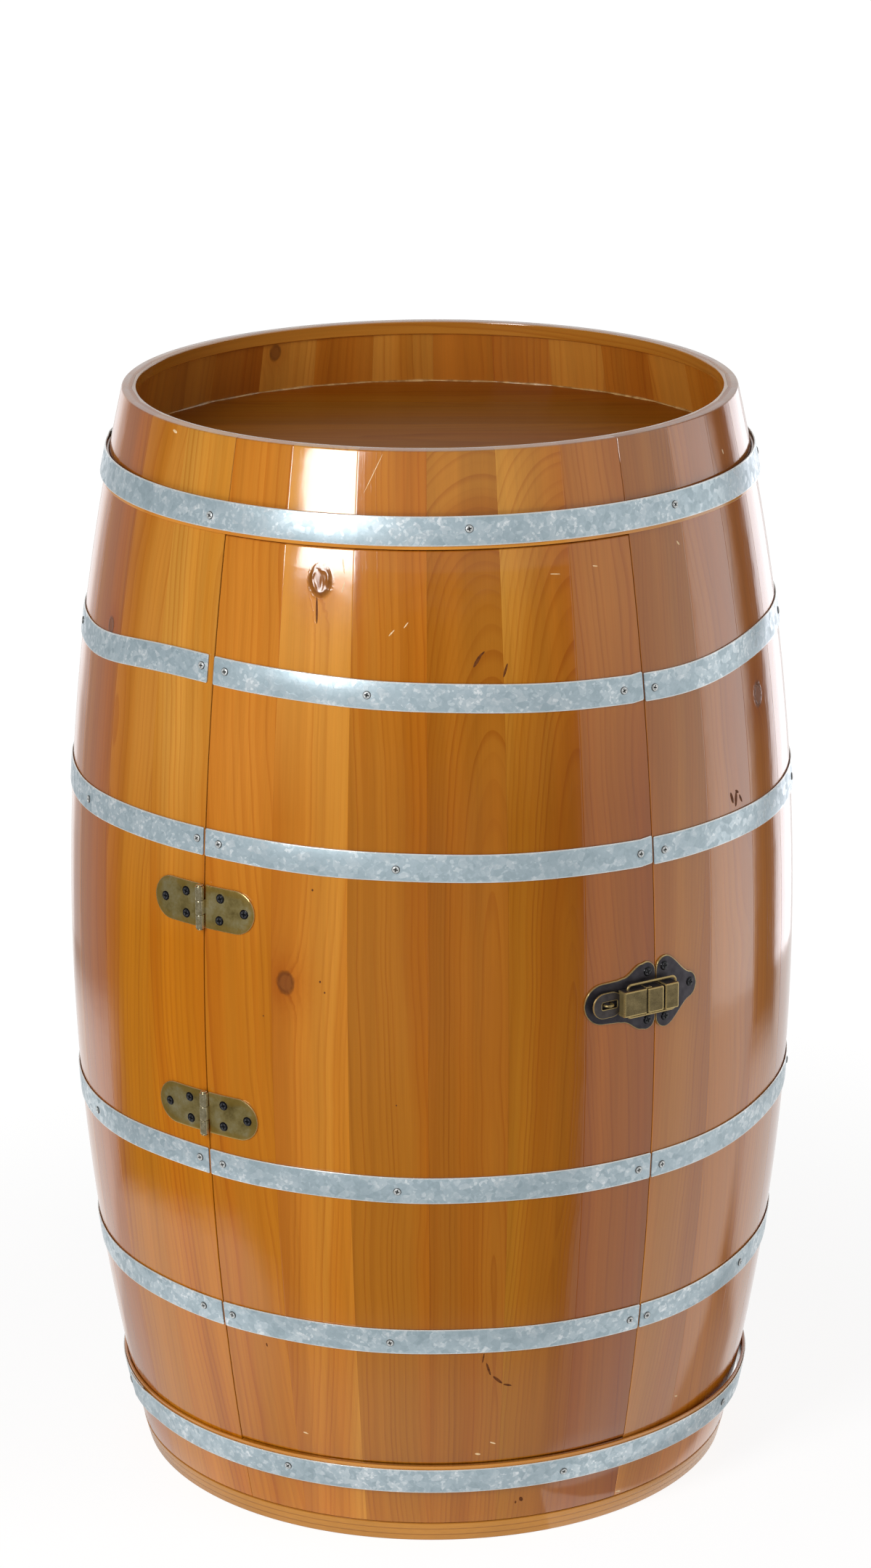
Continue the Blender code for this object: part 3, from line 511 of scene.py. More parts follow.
# Head panel: the tray's floor, of dark stained planks fitted inside the staves below the rim.
# A bead of glue and lacquer has run along its edge.
HEAD_TOP = HEIGHT - 0.048
HEAD_THICKNESS = 0.012
HEAD_PLANKS = 6
PLANK_ROWS = 17
PLANK_COLUMNS = 25
PLANK_LEAST_REACH = 0.02
PLANK_ARRIS = 0.00008
HEAD_TINT = (0.35, 0.118, 0.008)
BEAD_RADIUS = 0.0013
BEAD_STEPS = 540


def inside_flat(angle, height):
    """Distance from the axis to the flat inner faces of the staves."""
    off = (angle + DOOR_HALF_ANGLE) % STAVE_ANGLE - STAVE_ANGLE / 2
    return (bow(height) - STAVE_THICKNESS) / np.cos(off)


def head_planks():
    """Planks side by side along X: rows cross a plank, and columns go round it out to the staves."""
    half = bow(HEAD_TOP - HEAD_THICKNESS / 2) - STAVE_THICKNESS - 2 * FIT
    edge = np.linspace(-half, half, HEAD_PLANKS + 1)
    low, high = edge[:-1, None], edge[1:, None]
    share = (1 - np.cos(np.linspace(0, np.pi, PLANK_ROWS))) / 2
    arris = np.where((share == 0) | (share == 1), PLANK_ARRIS, 0)
    y = (low + share * (high - low))[..., None]
    along = np.linspace(-1, 1, PLANK_COLUMNS)
    along = np.concatenate([along, along[::-1]])
    on_top = np.arange(2 * PLANK_COLUMNS) < PLANK_COLUMNS
    z = HEAD_TOP - np.where(on_top, arris[:, None], HEAD_THICKNESS)
    x = np.sqrt(np.maximum(half ** 2 - y ** 2, PLANK_LEAST_REACH ** 2)) * along
    for trial in range(3):
        limit = inside_flat(np.arctan2(x, -y), HEAD_TOP) - FIT / 2
        x = np.sqrt(np.maximum(limit ** 2 - y ** 2, PLANK_LEAST_REACH ** 2)) * along
    grid = np.stack(np.broadcast_arrays(x, y, z), -1)
    grain = np.stack(np.broadcast_arrays(y - (low + high)[:, None] / 2, x + y * 5, HEAD_TOP - z), -1)
    seeds = np.arange(HEAD_PLANKS)[:, None, None]
    board = np.stack([0.05 * np.sin(seeds * 2.1), 0.03 + 0 * seeds, seeds * 1.9 + 3], -1)
    tint = np.array(HEAD_TINT) * (1 + 0.08 * np.sin(seeds * 2.7)[..., None])
    return shell(grid, grain=grain, board=board, tint=tint, **CLEAR_WOOD)


def draw_board(k):
    """The same wood as the staves, under a duller lacquer."""
    drawn = draw_fir(k)
    return {**drawn, "Roughness": drawn["Roughness"] + 0.28}


board_finish = finish("lacquered_board", draw_board, Specular_IOR_Level=0.04)
piece("head_panel_planks", [head_planks()], board_finish, "carcass", "lacquered_board", "head_panel")


def glue_bead():
    """Bead along the seam: a round section whose size swells and shrinks along the way."""
    angle = np.linspace(0, 2 * np.pi, BEAD_STEPS, endpoint=False)[:, None]
    turn = np.linspace(0, 2 * np.pi, 8, endpoint=False)
    swell = 0.70 + 0.24 * np.sin(angle * 23) * np.sin(angle * 7 + 1) + 0.14 * np.sin(angle * 61 + 2)
    size = BEAD_RADIUS * swell
    radius = inside_flat(angle, HEAD_TOP) - 0.0004 - size * 0.4 + size * np.cos(turn)
    return around(angle, radius, HEAD_TOP + 0.0001 + size * np.sin(turn))


def draw_bead(k):
    """Amber drips that catch the light, paler and darker in patches."""
    tone = k.place().noise(160.0, 3.0)
    base = (tone + 0.5).ramp((0.25, (0.26, 0.10, 0.018)), (0.7, (0.70, 0.45, 0.18)))
    return {"Base Color": base, "Roughness": 0.18 + tone * 0.12}


bead_finish = finish("lacquer_bead", draw_bead, Specular_IOR_Level=0.6)
piece("tray_seam_bead", [shell(glue_bead(), loop=True)], bead_finish, "carcass", "lacquered_board")

# Rim band: a thin strip of wood bent round inside the staves' upper ends and flush with them.
# It is glued to them and lacquered with them.
RIM_HEIGHT = 0.0100
RIM_THICKNESS = 0.002
RIM_STEPS = 360
RIM_TINT = (0.50, 0.20, 0.026)


def rim_strip():
    """Strip inside the rim: its back fills the corners between the flats, and its face is round."""
    angle = np.linspace(0, 2 * np.pi, RIM_STEPS, endpoint=False)[:, None]
    profile = [(0.0, 0.0), (0.0, 0.0013), (0.0006, RIM_THICKNESS), (0.004, RIM_THICKNESS),
               (0.008, RIM_THICKNESS), (RIM_HEIGHT - 0.0007, RIM_THICKNESS), (RIM_HEIGHT - 0.0002, 0.0017),
               (RIM_HEIGHT, 0.0012), (RIM_HEIGHT, 0.0), (0.006, 0.0)]
    rise, depth = np.transpose(profile)
    height = HEIGHT - RIM_HEIGHT + rise
    face = bow(height) - STAVE_THICKNESS - FIT - depth
    back = inside_flat(angle, height) - FIT / 3
    radius = np.where(depth > 0, face, back)
    grain = np.stack(np.broadcast_arrays(height - HEIGHT, angle * face.mean(), depth), -1)
    return shell(around(angle, radius, height), loop=True, grain=grain, board=(0.03, 0.02, 4.4),
                 tint=RIM_TINT, **CLEAR_WOOD)


piece("rim_strip", [rim_strip()], fir, "carcass", "lacquered_fir", "rim_band")

# Inside: the stop strip behind the latch side, the half-height shelf and the ledger under it.
# They are plain softwood, planed and thinly sealed, glued to the staves.


def draw_inner_wood(k):
    """Pale planed wood: rings about a far pith line along X, with fine fibre noise."""
    x, y, z = k.place().split()
    sway = k.vector(x * 3, y * 3, z * 3).noise(1.0, 2.0)
    radius = ((y + 0.31 + sway * 0.05) ** 2 + (z * 0.5 - 0.1 + x * 0.04) ** 2) ** 0.5
    stage = (radius / PLAIN_GROWTH[0]).math("FRACT")
    late = stage.step(0.2, 0.95) * (1 - stage.step(0.96, 1.0))
    fibre = k.vector(x * 30, y * 700, z * 700).noise(1.0, 3.0)
    base = (late * 0.7).ramp((0.0, (0.55, 0.33, 0.14)), (1.0, (0.36, 0.17, 0.05)))
    base = base.tinted(1.0 + fibre * 0.3 + sway * 0.3)
    return {"Base Color": base, "Roughness": 0.5 + fibre * 0.2, "Normal": bumped(fibre, 0.00012)}


inner_wood = finish("inner_wood", draw_inner_wood)
for node in ("door_stop", "shelf", "shelf_ledger"):
    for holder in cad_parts[node].material_slots:
        holder.material = inner_wood

# Hoop bands: thin wooden strips under the top and base hoops, showing as a lip along one edge of the
# steel. They are bent round the barrel and held by the hoops' screws.
BAND_THICKNESS = 0.002
BAND_ARRIS = 0.0005
HOOP_STEPS = 300
# Band tint: the wood's colour raised as painted light on the lip, which the hoop beside it shades.
PAINTED_LIGHT_BAND_TINT = (0.60, 0.250, 0.040)
BULGE_ANGLE = math.radians(66)
BULGE_WIDTH = math.radians(20)
BULGE = 0.0032


def rounded(half_x, half_y, corner, steps):
    """Loop of points round a rectangle with round corners, about its middle."""
    turn = np.linspace(0, np.pi / 2, steps) + np.arange(4)[:, None] * np.pi / 2
    centre = np.array([[1, 1], [-1, 1], [-1, -1], [1, -1]]) * (half_x - corner, half_y - corner)
    return (centre[:, None] + corner * np.stack([np.cos(turn), np.sin(turn)], -1)).reshape(-1, 2)


def base_bulge(angle):
    """How far the base hoop and its band have sprung away from the staves on the latch side."""
    return BULGE * np.exp(-((angle - BULGE_ANGLE) / BULGE_WIDTH) ** 2)


def strip(angle, middle, stand_off, thickness, corner, trim=0.0):
    """Flat strip round the barrel: a round-cornered section carried along angles, standing off the bow.

    trim is how far each edge draws in at every angle. Each point knows its place along and across the
    strip.
    """
    across, out = rounded(HOOP_WIDTH / 2, thickness / 2, corner, 4).T
    middle, stand_off, trim = [np.broadcast_to(values, angle.shape)[:, None]
                               for values in (middle, stand_off, trim)]
    across = np.sign(across) * (np.abs(across) - trim)
    height = middle + across
    radius = bow(height) + stand_off + thickness / 2 + out
    band = np.stack(np.broadcast_arrays(angle[:, None] * BELLY_RADIUS, across, middle), -1)
    return around(angle[:, None], radius, height), band


whole_turn = np.linspace(-np.pi, np.pi, HOOP_STEPS, endpoint=False)
for name, rise, lip, bulge in (("top", TOP_HOOP_RISE, -BAND_LIP, 0 * whole_turn),
                               ("base", BASE_HOOP_RISE, BAND_LIP, base_bulge(whole_turn))):
    grid, band = strip(whole_turn, rise + lip, FIT + bulge, BAND_THICKNESS, BAND_ARRIS)
    grain = band[..., [1, 0, 2]] * (1, 1, 0)
    wooden = shell(grid, loop=True, grain=grain, board=(0.025, 0.02, rise * 7), tint=PAINTED_LIGHT_BAND_TINT, **CLEAR_WOOD)
    piece(f"{name}_band", [wooden], fir, "carcass", "lacquered_fir", f"{name}_hoop_band")

# Hoops: galvanised steel strip. The top and base hoops go right round and lap on the hinge side.
# The other four are cut at the door's edges, so each has a strap on the body and one on the door.
HOOP_THICKNESS = 0.001
HOOP_ARRIS = 0.0004
BODY_STRAP_STEPS = 220
DOOR_STRAP_STEPS = 70
TOP_LAP = math.radians(-97)
BASE_LAP = math.radians(-66)
LAP_LENGTH = math.radians(7)
LAP_GAP = 0.0001
STRAP_SETBACK = 0.0006
DOOR_SETBACK = 0.0012
STRAP_CORNER = 0.0010
STRAP_WAVE = 0.0004
HINGE_SIDE_SETBACKS = {"upper_quarter": 0.0042}
STRAP_FLARES = {"upper_quarter": 0.0012, "upper_bilge": 0.0012}
FLARE_ANGLE = 0.03

# Height of each split hoop, and how much its door strap leans
SPLIT_HOOPS = {
    "upper_quarter": (HEIGHT - 0.161, -0.0106),
    "upper_bilge": (HEIGHT - 0.277, -0.0056),
    "lower_bilge": (0.2895, -0.0031),
    "lower_quarter": (0.170, -0.0026),
}

# How each body strap lies past the bend near its ends: how far up it is set and how much it leans
BODY_STRAPS = {
    "upper_quarter": (-0.0024, 0.0027),
    "upper_bilge": (-0.0030, -0.0026),
    "lower_bilge": (0.0004, 0.0030),
    "lower_quarter": (0.0012, 0.0012),
}
STRAP_BEND = math.radians(38)
hoop_stand_off = 2 * FIT + BAND_THICKNESS


def draw_galvanised(k):
    """Zinc spangle: crystal cells of unlike greys and fine white flecks, with a painted highlight along both
    edges.
    """
    along, across, seed = k.field("band").split()
    point = k.place()
    blur = point.noise(180.0, 2.0)
    flat = k.vector(along + blur * 0.003, across * 1.15 + blur * 0.002, seed * 3)
    cell = k.node("TexVoronoi", None, {"Vector": flat, "Scale": 190.0}, "Color").split()[0]
    fine = k.node("TexVoronoi", None, {"Vector": flat, "Scale": 480.0}, "Color").split()[1]
    cloud = point.noise(38.0, 3.0)
    fleck = fine.step(0.78, 0.92) * cloud.step(-0.15, 0.15)
    edge = across.math("ABSOLUTE").step(HOOP_WIDTH / 2 - 0.0011, HOOP_WIDTH / 2 - 0.0003)
    tone = 0.25 + cell * 0.32 + fine * 0.12 + cloud * 0.45 + fleck * 0.22
    base = tone.ramp((0.0, (0.25, 0.34, 0.38)), (0.5, (0.46, 0.56, 0.61)), (1.0, (0.88, 0.93, 0.95)))
    # Painted highlight: both edges of the strip go pale grey.
    base = base.mix(colour(0.86, 0.86, 0.82), edge * 0.7)
    rough = 0.40 - cell * 0.14 + cloud * 0.1 - edge * 0.1
    return {"Base Color": base, "Roughness": rough, "Normal": bumped(cell * 0.6 + cloud, 0.00005)}


galvanised = finish("galvanised_steel", draw_galvanised, Metallic=0.35, Specular_IOR_Level=0.6)


def smooth(value):
    """Smooth rise from 0 to 1 as the value goes from 0 to 1."""
    value = np.clip(value, 0, 1)
    return value * value * (3 - 2 * value)


def strap_height(name, angle):
    """Height of a split hoop along the way: door straps lean in a plane, and body straps bend off it."""
    rise, lean = SPLIT_HOOPS[name]
    offset, body_lean = BODY_STRAPS[name]
    from_front = np.abs((angle + np.pi) % (2 * np.pi) - np.pi)
    bent = smooth((from_front - DOOR_HALF_ANGLE) / STRAP_BEND)
    return rise + lean * np.sin(angle) * (1 - bent) + (offset + body_lean * np.sin(angle)) * bent


def strap_trim(angle, radius):
    """Round corners of a strap's two ends: how far its edges draw in near them."""
    from_end = np.minimum(angle - angle[0], angle[-1] - angle) * radius
    near = np.clip(STRAP_CORNER - from_end, 0, STRAP_CORNER)
    return STRAP_CORNER - np.sqrt(STRAP_CORNER ** 2 - near ** 2) * JUST_INSIDE


def strap_angles(start, end, radius, steps):
    """Angles along a strap, close together where its corners are round."""
    corner = STRAP_CORNER / radius * np.array([0, 0.03, 0.1, 0.22, 0.4, 0.65, 1.0])
    return np.concatenate([start + corner, np.linspace(start, end, steps)[2:-2], end - corner[::-1]])


for name, rise, lap_angle in (("top", TOP_HOOP_RISE, TOP_LAP), ("base", BASE_HOOP_RISE, BASE_LAP)):
    angle = strap_angles(lap_angle - LAP_LENGTH, lap_angle + 2 * np.pi, bow(rise), HOOP_STEPS)
    lap = 1 - smooth((angle - lap_angle) / LAP_LENGTH * 1.5)
    wrapped = (angle + np.pi) % (2 * np.pi) - np.pi
    bulge = base_bulge(wrapped) if name == "base" else 0 * angle
    stand_off = hoop_stand_off + lap * (HOOP_THICKNESS + LAP_GAP) + bulge
    grid, band = strip(angle, rise, stand_off, HOOP_THICKNESS, HOOP_ARRIS, strap_trim(angle, bow(rise)))
    piece(f"{name}_hoop_strip", [shell(grid, band=band)], galvanised, "carcass", "galvanised_steel",
          f"{name}_hoop")

for name in SPLIT_HOOPS:
    rise = SPLIT_HOOPS[name][0]
    radius = bow(rise)
    latch_edge = DOOR_HALF_ANGLE + edge_lean(strap_height(name, DOOR_HALF_ANGLE))
    body_start = latch_edge + STRAP_SETBACK / radius
    body_end = 2 * np.pi - DOOR_HALF_ANGLE - HINGE_SIDE_SETBACKS.get(name, STRAP_SETBACK) / radius
    door_start = -DOOR_HALF_ANGLE + DOOR_SETBACK / radius
    door_end = latch_edge - DOOR_SETBACK / radius
    for body, side, start, end, steps in (("carcass", "body", body_start, body_end, BODY_STRAP_STEPS),
                                          ("door", "door", door_start, door_end, DOOR_STRAP_STEPS)):
        angle = strap_angles(start, end, radius, steps)
        wave = STRAP_WAVE * np.sin(angle * 9 + rise * 40) * np.cos(angle * 4)
        if body == "door":
            wave = wave + STRAP_FLARES.get(name, 0) * smooth(1 - (end - angle) / FLARE_ANGLE)
        grid, band = strip(angle, strap_height(name, angle) + wave, FIT, HOOP_THICKNESS, HOOP_ARRIS,
                           strap_trim(angle, radius))
        piece(f"{name}_{side}_strip", [shell(grid, band=band)], galvanised, body, "galvanised_steel",
              f"{name}_{side}_strap")

# Hoop screws: small zinc-plated cross-head screws through the hoops into the staves.
# Each strap has one by each end, and more along the way, none of them quite in line.
SCREW_RADIUS = 0.0028
SCREW_RISE = 0.0010
STUD_SINK = 0.0008
STRAP_SCREW_STRAY = 0.0012
CLOSED_SCREW_STRAY = 0.0015
CLOSED_SCREWS = {
    TOP_HOOP_RISE: [-96, -39, 7, 46, 92, 140, 188, 226],
    BASE_HOOP_RISE: [-75.5, -26, 24, 65, 100, 146, 190, 228],
}
BODY_SCREWS = {
    "upper_quarter": [37.9, 84, 131, 180, 228, 278, 321.8],
    "upper_bilge": [38.1, 83, 130, 180, 229, 292.7, 322.7],
    "lower_bilge": [38.3, 86, 132, 180, 230, 293.1, 322.2],
    "lower_quarter": [37.9, 63.4, 110, 150, 200, 250, 319.9],
}
DOOR_SCREWS = {
    "upper_quarter": [-33.5, -9.3, 32],
    "upper_bilge": [-33.2, -4.7, 33.6],
    "lower_bilge": [-33.4, -4.8, 33.8],
    "lower_quarter": [-34, -6.4, 34.4],
}


def studs(origin, side, up, out, radius, rise, spin):
    """Domed screw heads, one for each origin: rings of a flattened dome with a cross recess, each spun."""
    ring = np.array([0.06, 0.15, 0.25, 0.36, 0.48, 0.60, 0.78, 0.92, 1.0, 1.0])[:, None]
    sunk = np.array([0, 0, 0, 0, 0, 0, 0, 0, 0, 1])[:, None]
    turn = np.linspace(0, 2 * np.pi, 32, endpoint=False)
    x = ring * np.cos(turn)
    y = ring * np.sin(turn)
    from_arm = np.minimum(abs(x), abs(y))
    along_arm = np.maximum(abs(x), abs(y))
    recess = smooth((0.20 - from_arm) / 0.10) * smooth((0.62 - along_arm) / 0.12)
    level = rise * (np.sqrt(1 - ring ** 4) - 0.9 * recess) - STUD_SINK * sunk
    spin = np.reshape(spin, (-1, 1, 1))
    right = radius * (x * np.cos(spin) - y * np.sin(spin))
    above = radius * (x * np.sin(spin) + y * np.cos(spin))
    grid = origin + side * right[..., None] + up * above[..., None] + out * level[..., None]
    return shell(grid, recess=recess[..., None], ring=(ring + 0 * x)[..., None])


def draw_zinc(k):
    """Pale zinc plating, with painted shade in the recess and round the rim."""
    recess = k.field("recess", "Fac")
    ring = k.field("ring", "Fac")
    tone = k.place().noise(900.0, 2.0)
    base = (tone + 0.5).ramp((0.2, (0.50, 0.53, 0.53)), (0.8, (0.86, 0.88, 0.87)))
    # Painted shade: the cross recess and the rim's outline go near black.
    base = base.mix(colour(0.02, 0.02, 0.02), recess.math("MAXIMUM", ring.step(0.76, 0.90) * 0.9))
    return {"Base Color": base, "Roughness": 0.36 + tone * 0.2 + recess * 0.3}


zinc_steel = finish("zinc_plated_steel", draw_zinc, Metallic=0.35)


def seat(angle, height, lift):
    """Place on the barrel's outside and its sideways, upward and outward directions, one for each angle."""
    angle, height, lift = [np.reshape(values, (-1, 1, 1))
                           for values in np.broadcast_arrays(angle, height, lift)]
    tilt = (height - HEIGHT / 2) / BOW_RADIUS
    return (around(angle, bow(height) + lift, height), around(angle + np.pi / 2, 1.0, 0.0 * height),
            around(angle, -np.sin(tilt), np.cos(tilt)), around(angle, np.cos(tilt), np.sin(tilt)))


def strap_screws(places):
    """Screw heads on the split straps, at angles in degrees for each hoop."""
    heads = []
    for name, degrees in places.items():
        angle = np.radians(degrees)
        height = strap_height(name, angle) + STRAP_SCREW_STRAY * np.sin(angle * 17)
        where = seat(angle, height, FIT + HOOP_THICKNESS)
        heads.append(studs(*where, SCREW_RADIUS, SCREW_RISE, angle * 40))
    return heads


body_heads = strap_screws(BODY_SCREWS)
for rise, degrees in CLOSED_SCREWS.items():
    angle = np.radians(degrees)
    lift = hoop_stand_off + HOOP_THICKNESS + (base_bulge(angle) if rise == BASE_HOOP_RISE else 0 * angle)
    lift = lift + np.where(np.abs(angle - TOP_LAP) < LAP_LENGTH, HOOP_THICKNESS, 0)
    where = seat(angle, rise + CLOSED_SCREW_STRAY * np.sin(angle * 11), lift)
    body_heads.append(studs(*where, SCREW_RADIUS, SCREW_RISE, angle * 40))
piece("body_hoop_screws", body_heads, zinc_steel, "carcass", "galvanised_steel")
piece("door_hoop_screws", strap_screws(DOOR_SCREWS), zinc_steel, "door", "galvanised_steel")

# Door: six staves sawn out of the barrel, held together by their straps.
# A running gap is left at its edges, with its arrises a little worn.
HINGE_EDGE_GAP = 0.0007
LATCH_EDGE_GAP = 0.0003
door_row = stave_row(door_places, door_bottom, door_top, HINGE_EDGE_GAP, LATCH_EDGE_GAP, STAVE_ROWS)
for number, plank in enumerate(door_row, 1):
    piece(f"door_plank_{number}", [plank], fir, "door", "lacquered_fir", f"door_stave_{number}")

# Marks in the lacquer: chips and nicks that show pale wood, and dark resin marks and cracks.
# They are thin flakes on the staves, no thicker than the lacquer. A mark is an angle in degrees, a height,
# half a length and half a width in millimetres, and a turn from upright in degrees.
FLAKE_LIFT = 0.00006
DOOR_CHIPS = [
    (-13.7, 723.9, 5.0, 0.45, 10), (-13.6, 710.6, 4.0, 0.45, -15), (-5.6, 681.6, 3.0, 0.45, -45),
    (-3.3, 687.0, 2.5, 0.40, -40), (21.3, 716.5, 4.0, 0.35, 85), (28.6, 718.6, 2.2, 0.45, 80),
    (10.8, 83.5, 2.5, 0.60, 70), (8.2, 74.9, 2.2, 0.80, 80), (-22.2, 85.0, 2.2, 0.60, 80),
]
BODY_CHIPS = [
    (-9.2, 785.0, 15.0, 0.30, -29), (46.5, 722.9, 2.0, 0.70, 40), (64.6, 771.0, 2.0, 0.80, 20),
    (-51.7, 795.0, 3.0, 1.00, 80), (37.5, 18.5, 3.0, 0.60, 80), (48.8, 84.4, 2.0, 0.60, 70),
]
DOOR_RESIN = [
    (7.9, 663.0, 5.5, 1.20, -35), (8.6, 667.0, 3.0, 0.70, -50), (12.3, 655.5, 5.0, 0.90, -20),
    (-17.9, 694.0, 9.0, 0.80, 3), (8.7, 155.3, 4.0, 0.60, -8), (9.6, 146.0, 5.5, 0.90, 18),
    (11.2, 136.5, 5.0, 1.10, 48), (12.9, 131.6, 3.5, 0.80, 75), (-16.2, 439.5, 0.9, 0.70, 0),
    (-15.5, 432.0, 0.8, 0.60, 0), (-17.4, 504.0, 0.9, 0.70, 0), (-25.4, 409.5, 0.6, 0.50, 0),
    (-4.8, 353.0, 0.6, 0.50, 0), (-28.0, 153.6, 1.6, 0.60, 10),
]
BODY_RESIN = [
    (54.3, 538.0, 4.5, 1.50, 20), (55.4, 536.0, 5.5, 1.70, -8), (56.8, 535.0, 3.5, 1.10, 30),
    (55.8, 541.0, 2.5, 1.00, 60), (16.6, 31.8, 2.2, 1.60, 30), (15.6, 29.6, 1.2, 0.80, 0),
]


def flakes(marks):
    """Lens-shaped flakes on the staves: rings shrinking to the middle, laid on the skin and turned."""
    angle, height, long, wide, turn = [np.reshape(values, (-1, 1, 1)) for values in np.transpose(marks)]
    ring = np.array([0.05, 0.35, 0.7, 0.92, 1.0])[:, None]
    dome = np.array([1, 0.9, 0.6, 0.3, -0.5])[:, None]
    way = np.linspace(0, 2 * np.pi, 16, endpoint=False)
    x = wide / 1000 * ring * np.cos(way)
    y = long / 1000 * ring * np.sin(way)
    turn = np.radians(turn)
    z = height / 1000 + y * np.cos(turn) + x * np.sin(turn)
    phi = np.radians(angle) + (x * np.cos(turn) - y * np.sin(turn)) / BELLY_RADIUS
    return around(phi, skin(phi, z) + FLAKE_LIFT * dome, z)


def draw_chip(k):
    """Bare pale wood with a dry surface."""
    tone = k.place().noise(600.0, 2.0)
    base = (tone + 0.5).ramp((0.2, (0.62, 0.36, 0.13)), (0.8, (0.88, 0.70, 0.45)))
    return {"Base Color": base, "Roughness": 0.5 + tone * 0.2}


def draw_resin(k):
    """Dark brown resin, nearly black in its middle."""
    tone = k.place().noise(500.0, 2.0)
    base = (tone + 0.5).ramp((0.2, (0.055, 0.014, 0.003)), (0.8, (0.17, 0.050, 0.008)))
    return {"Base Color": base, "Roughness": 0.55 + tone * 0.2}


bare_wood = finish("bare_wood", draw_chip)
resin = finish("dark_resin", draw_resin, Specular_IOR_Level=0.15)
piece("door_chips", [shell(flakes(DOOR_CHIPS))], bare_wood, "door", "lacquered_fir")
piece("body_chips", [shell(flakes(BODY_CHIPS))], bare_wood, "carcass", "lacquered_fir")
piece("door_resin_marks", [shell(flakes(DOOR_RESIN))], resin, "door", "lacquered_fir")
piece("body_resin_marks", [shell(flakes(BODY_RESIN))], resin, "carcass", "lacquered_fir")

# Swollen knot: the large knot near the door's top stands up under the lacquer.
# It is part of the door's second stave, with a broken ridge round a shallow pit.
SWELL_BOARD = 1
SWELL_WIDE = 0.0090
SWELL_TALL = 0.0125


def swollen_knot():
    """Low dome with a broken ridge round it: rings from the middle out, laid on the skin of its stave."""
    tint, _, pith, pith_depth, knots = boards[SWELL_BOARD]
    across, along, _ = knots[0]
    ring = np.linspace(0.04, 1.0, 18)[:, None]
    way = np.linspace(0, 2 * np.pi, 48, endpoint=False)
    ridge = np.exp(-((ring - 0.60 - 0.05 * np.sin(3 * way)) / 0.12) ** 2)
    ridge = ridge * (0.55 + 0.35 * np.sin(2 * way + 0.6) + 0.25 * np.sin(5 * way + 1.0))
    pit = np.exp(-((ring * np.cos(way) - 0.15) ** 2 / 0.02 + (ring * np.sin(way) + 0.1) ** 2 / 0.12))
    level = 0.00030 * (1 - ring ** 2) + 0.00055 * ridge - 0.00035 * pit - 0.00015 * ring ** 8
    x = across + SWELL_WIDE * ring * np.cos(way)
    y = along + SWELL_TALL * ring * np.sin(way)
    angle = STAVE_ANGLE * (SWELL_BOARD + 0.5) - DOOR_HALF_ANGLE + x / bow(along)
    grain = np.stack(np.broadcast_arrays(x, y, -level), -1)
    return shell(around(angle, skin(angle, y) + level, y), grain=grain, knot=knots[0], tint=tint,
                 board=(pith, pith_depth, SWELL_BOARD * SEED_STEP), growth=GROWTHS[SWELL_BOARD])


piece("door_knot", [swollen_knot()], fir, "door", "lacquered_fir")

# Hinges: two brass butt hinges with round-ended leaves, bent to the barrel and screwed on beside the door's
# edge. The body leaf is rolled into the outer knuckles, the door leaf into the middle one, and a pin runs
# through them.
HINGE_ANGLE = -DOOR_HALF_ANGLE
HINGE_HEIGHTS = {
    "upper": SPLIT_HOOPS["upper_bilge"][0] - 0.0425,
    "lower": SPLIT_HOOPS["lower_bilge"][0] + 0.0395,
}
LEAF_LENGTHS = {-1: 0.0445, 1: 0.0425}
LEAF_HALF = 0.0155
LEAF_THICKNESS = 0.001
KNUCKLE_RADIUS = 0.003
KNUCKLE_ARRIS = 0.0004
KNUCKLE_SIDES = 24
PIN_RADIUS = 0.0015
PIN_TIP_RADIUS = 0.0024
PIN_TIP_HEIGHT = 0.0008
NOTCH = 0.0026
WEB_START = 0.0008
WEB_LAP = 0.0006
WEB_EDGE = 0.004
HINGE_SCREWS = np.array([(0.0150, 0.0078), (0.0145, -0.0080), (0.0345, 0.0)])
HINGE_SCREW_RADIUS = 0.0034
HINGE_SCREW_RISE = 0.0007
knuckle_half = LEAF_HALF / 3

# The pins stand on the solids' axis, and the solids' bow is straight between its knots
BOW_STEPS = 12
bow_knots = np.linspace(0, HEIGHT, BOW_STEPS + 1)
hinge_ends = np.add.outer(list(HINGE_HEIGHTS.values()), [-LEAF_HALF, LEAF_HALF])
hinge_radius = np.interp(hinge_ends, bow_knots, bow(bow_knots)).max() + 2 * FIT + KNUCKLE_RADIUS

# Section of a plate: how far across each point lies, and its share of the thickness
PLATE_SHARE = np.array([-1, -1, -0.985, -0.96, -0.85, -0.65, -0.35, 0, 0.35, 0.65, 0.85, 0.96, 0.985, 1, 1])
PLATE_LEVEL = np.array([0, 0.5, 0.88, 1, 1, 1, 1, 1, 1, 1, 1, 1, 0.88, 0.5, 0])


def on_barrel(seam, rise, u, v, n):
    """Points at distances round, up and out from a seam of the barrel."""
    return around(seam + u / bow(rise), bow(rise + v) + n, rise + v)


def hinge_leaf(side, rise):
    """Round-ended plate bent to the barrel: rows step away from the axis, columns go round its section."""
    end_turn = np.linspace(0, 0.995 * np.pi / 2, 18)
    bend = LEAF_LENGTHS[side] - LEAF_HALF
    straight = np.linspace(NOTCH, bend, 10)[:-1]
    u = np.concatenate([straight, bend + LEAF_HALF * np.sin(end_turn)])[:, None]
    half = np.concatenate([straight * 0 + LEAF_HALF, LEAF_HALF * np.cos(end_turn)])[:, None]
    v = half * PLATE_SHARE
    n = FIT + LEAF_THICKNESS * PLATE_LEVEL
    past = np.maximum(u - bend, 0)
    edge = LEAF_HALF - np.hypot(past, v)
    return shell(on_barrel(HINGE_ANGLE, rise, side * u, v, n), edge=edge[..., None])


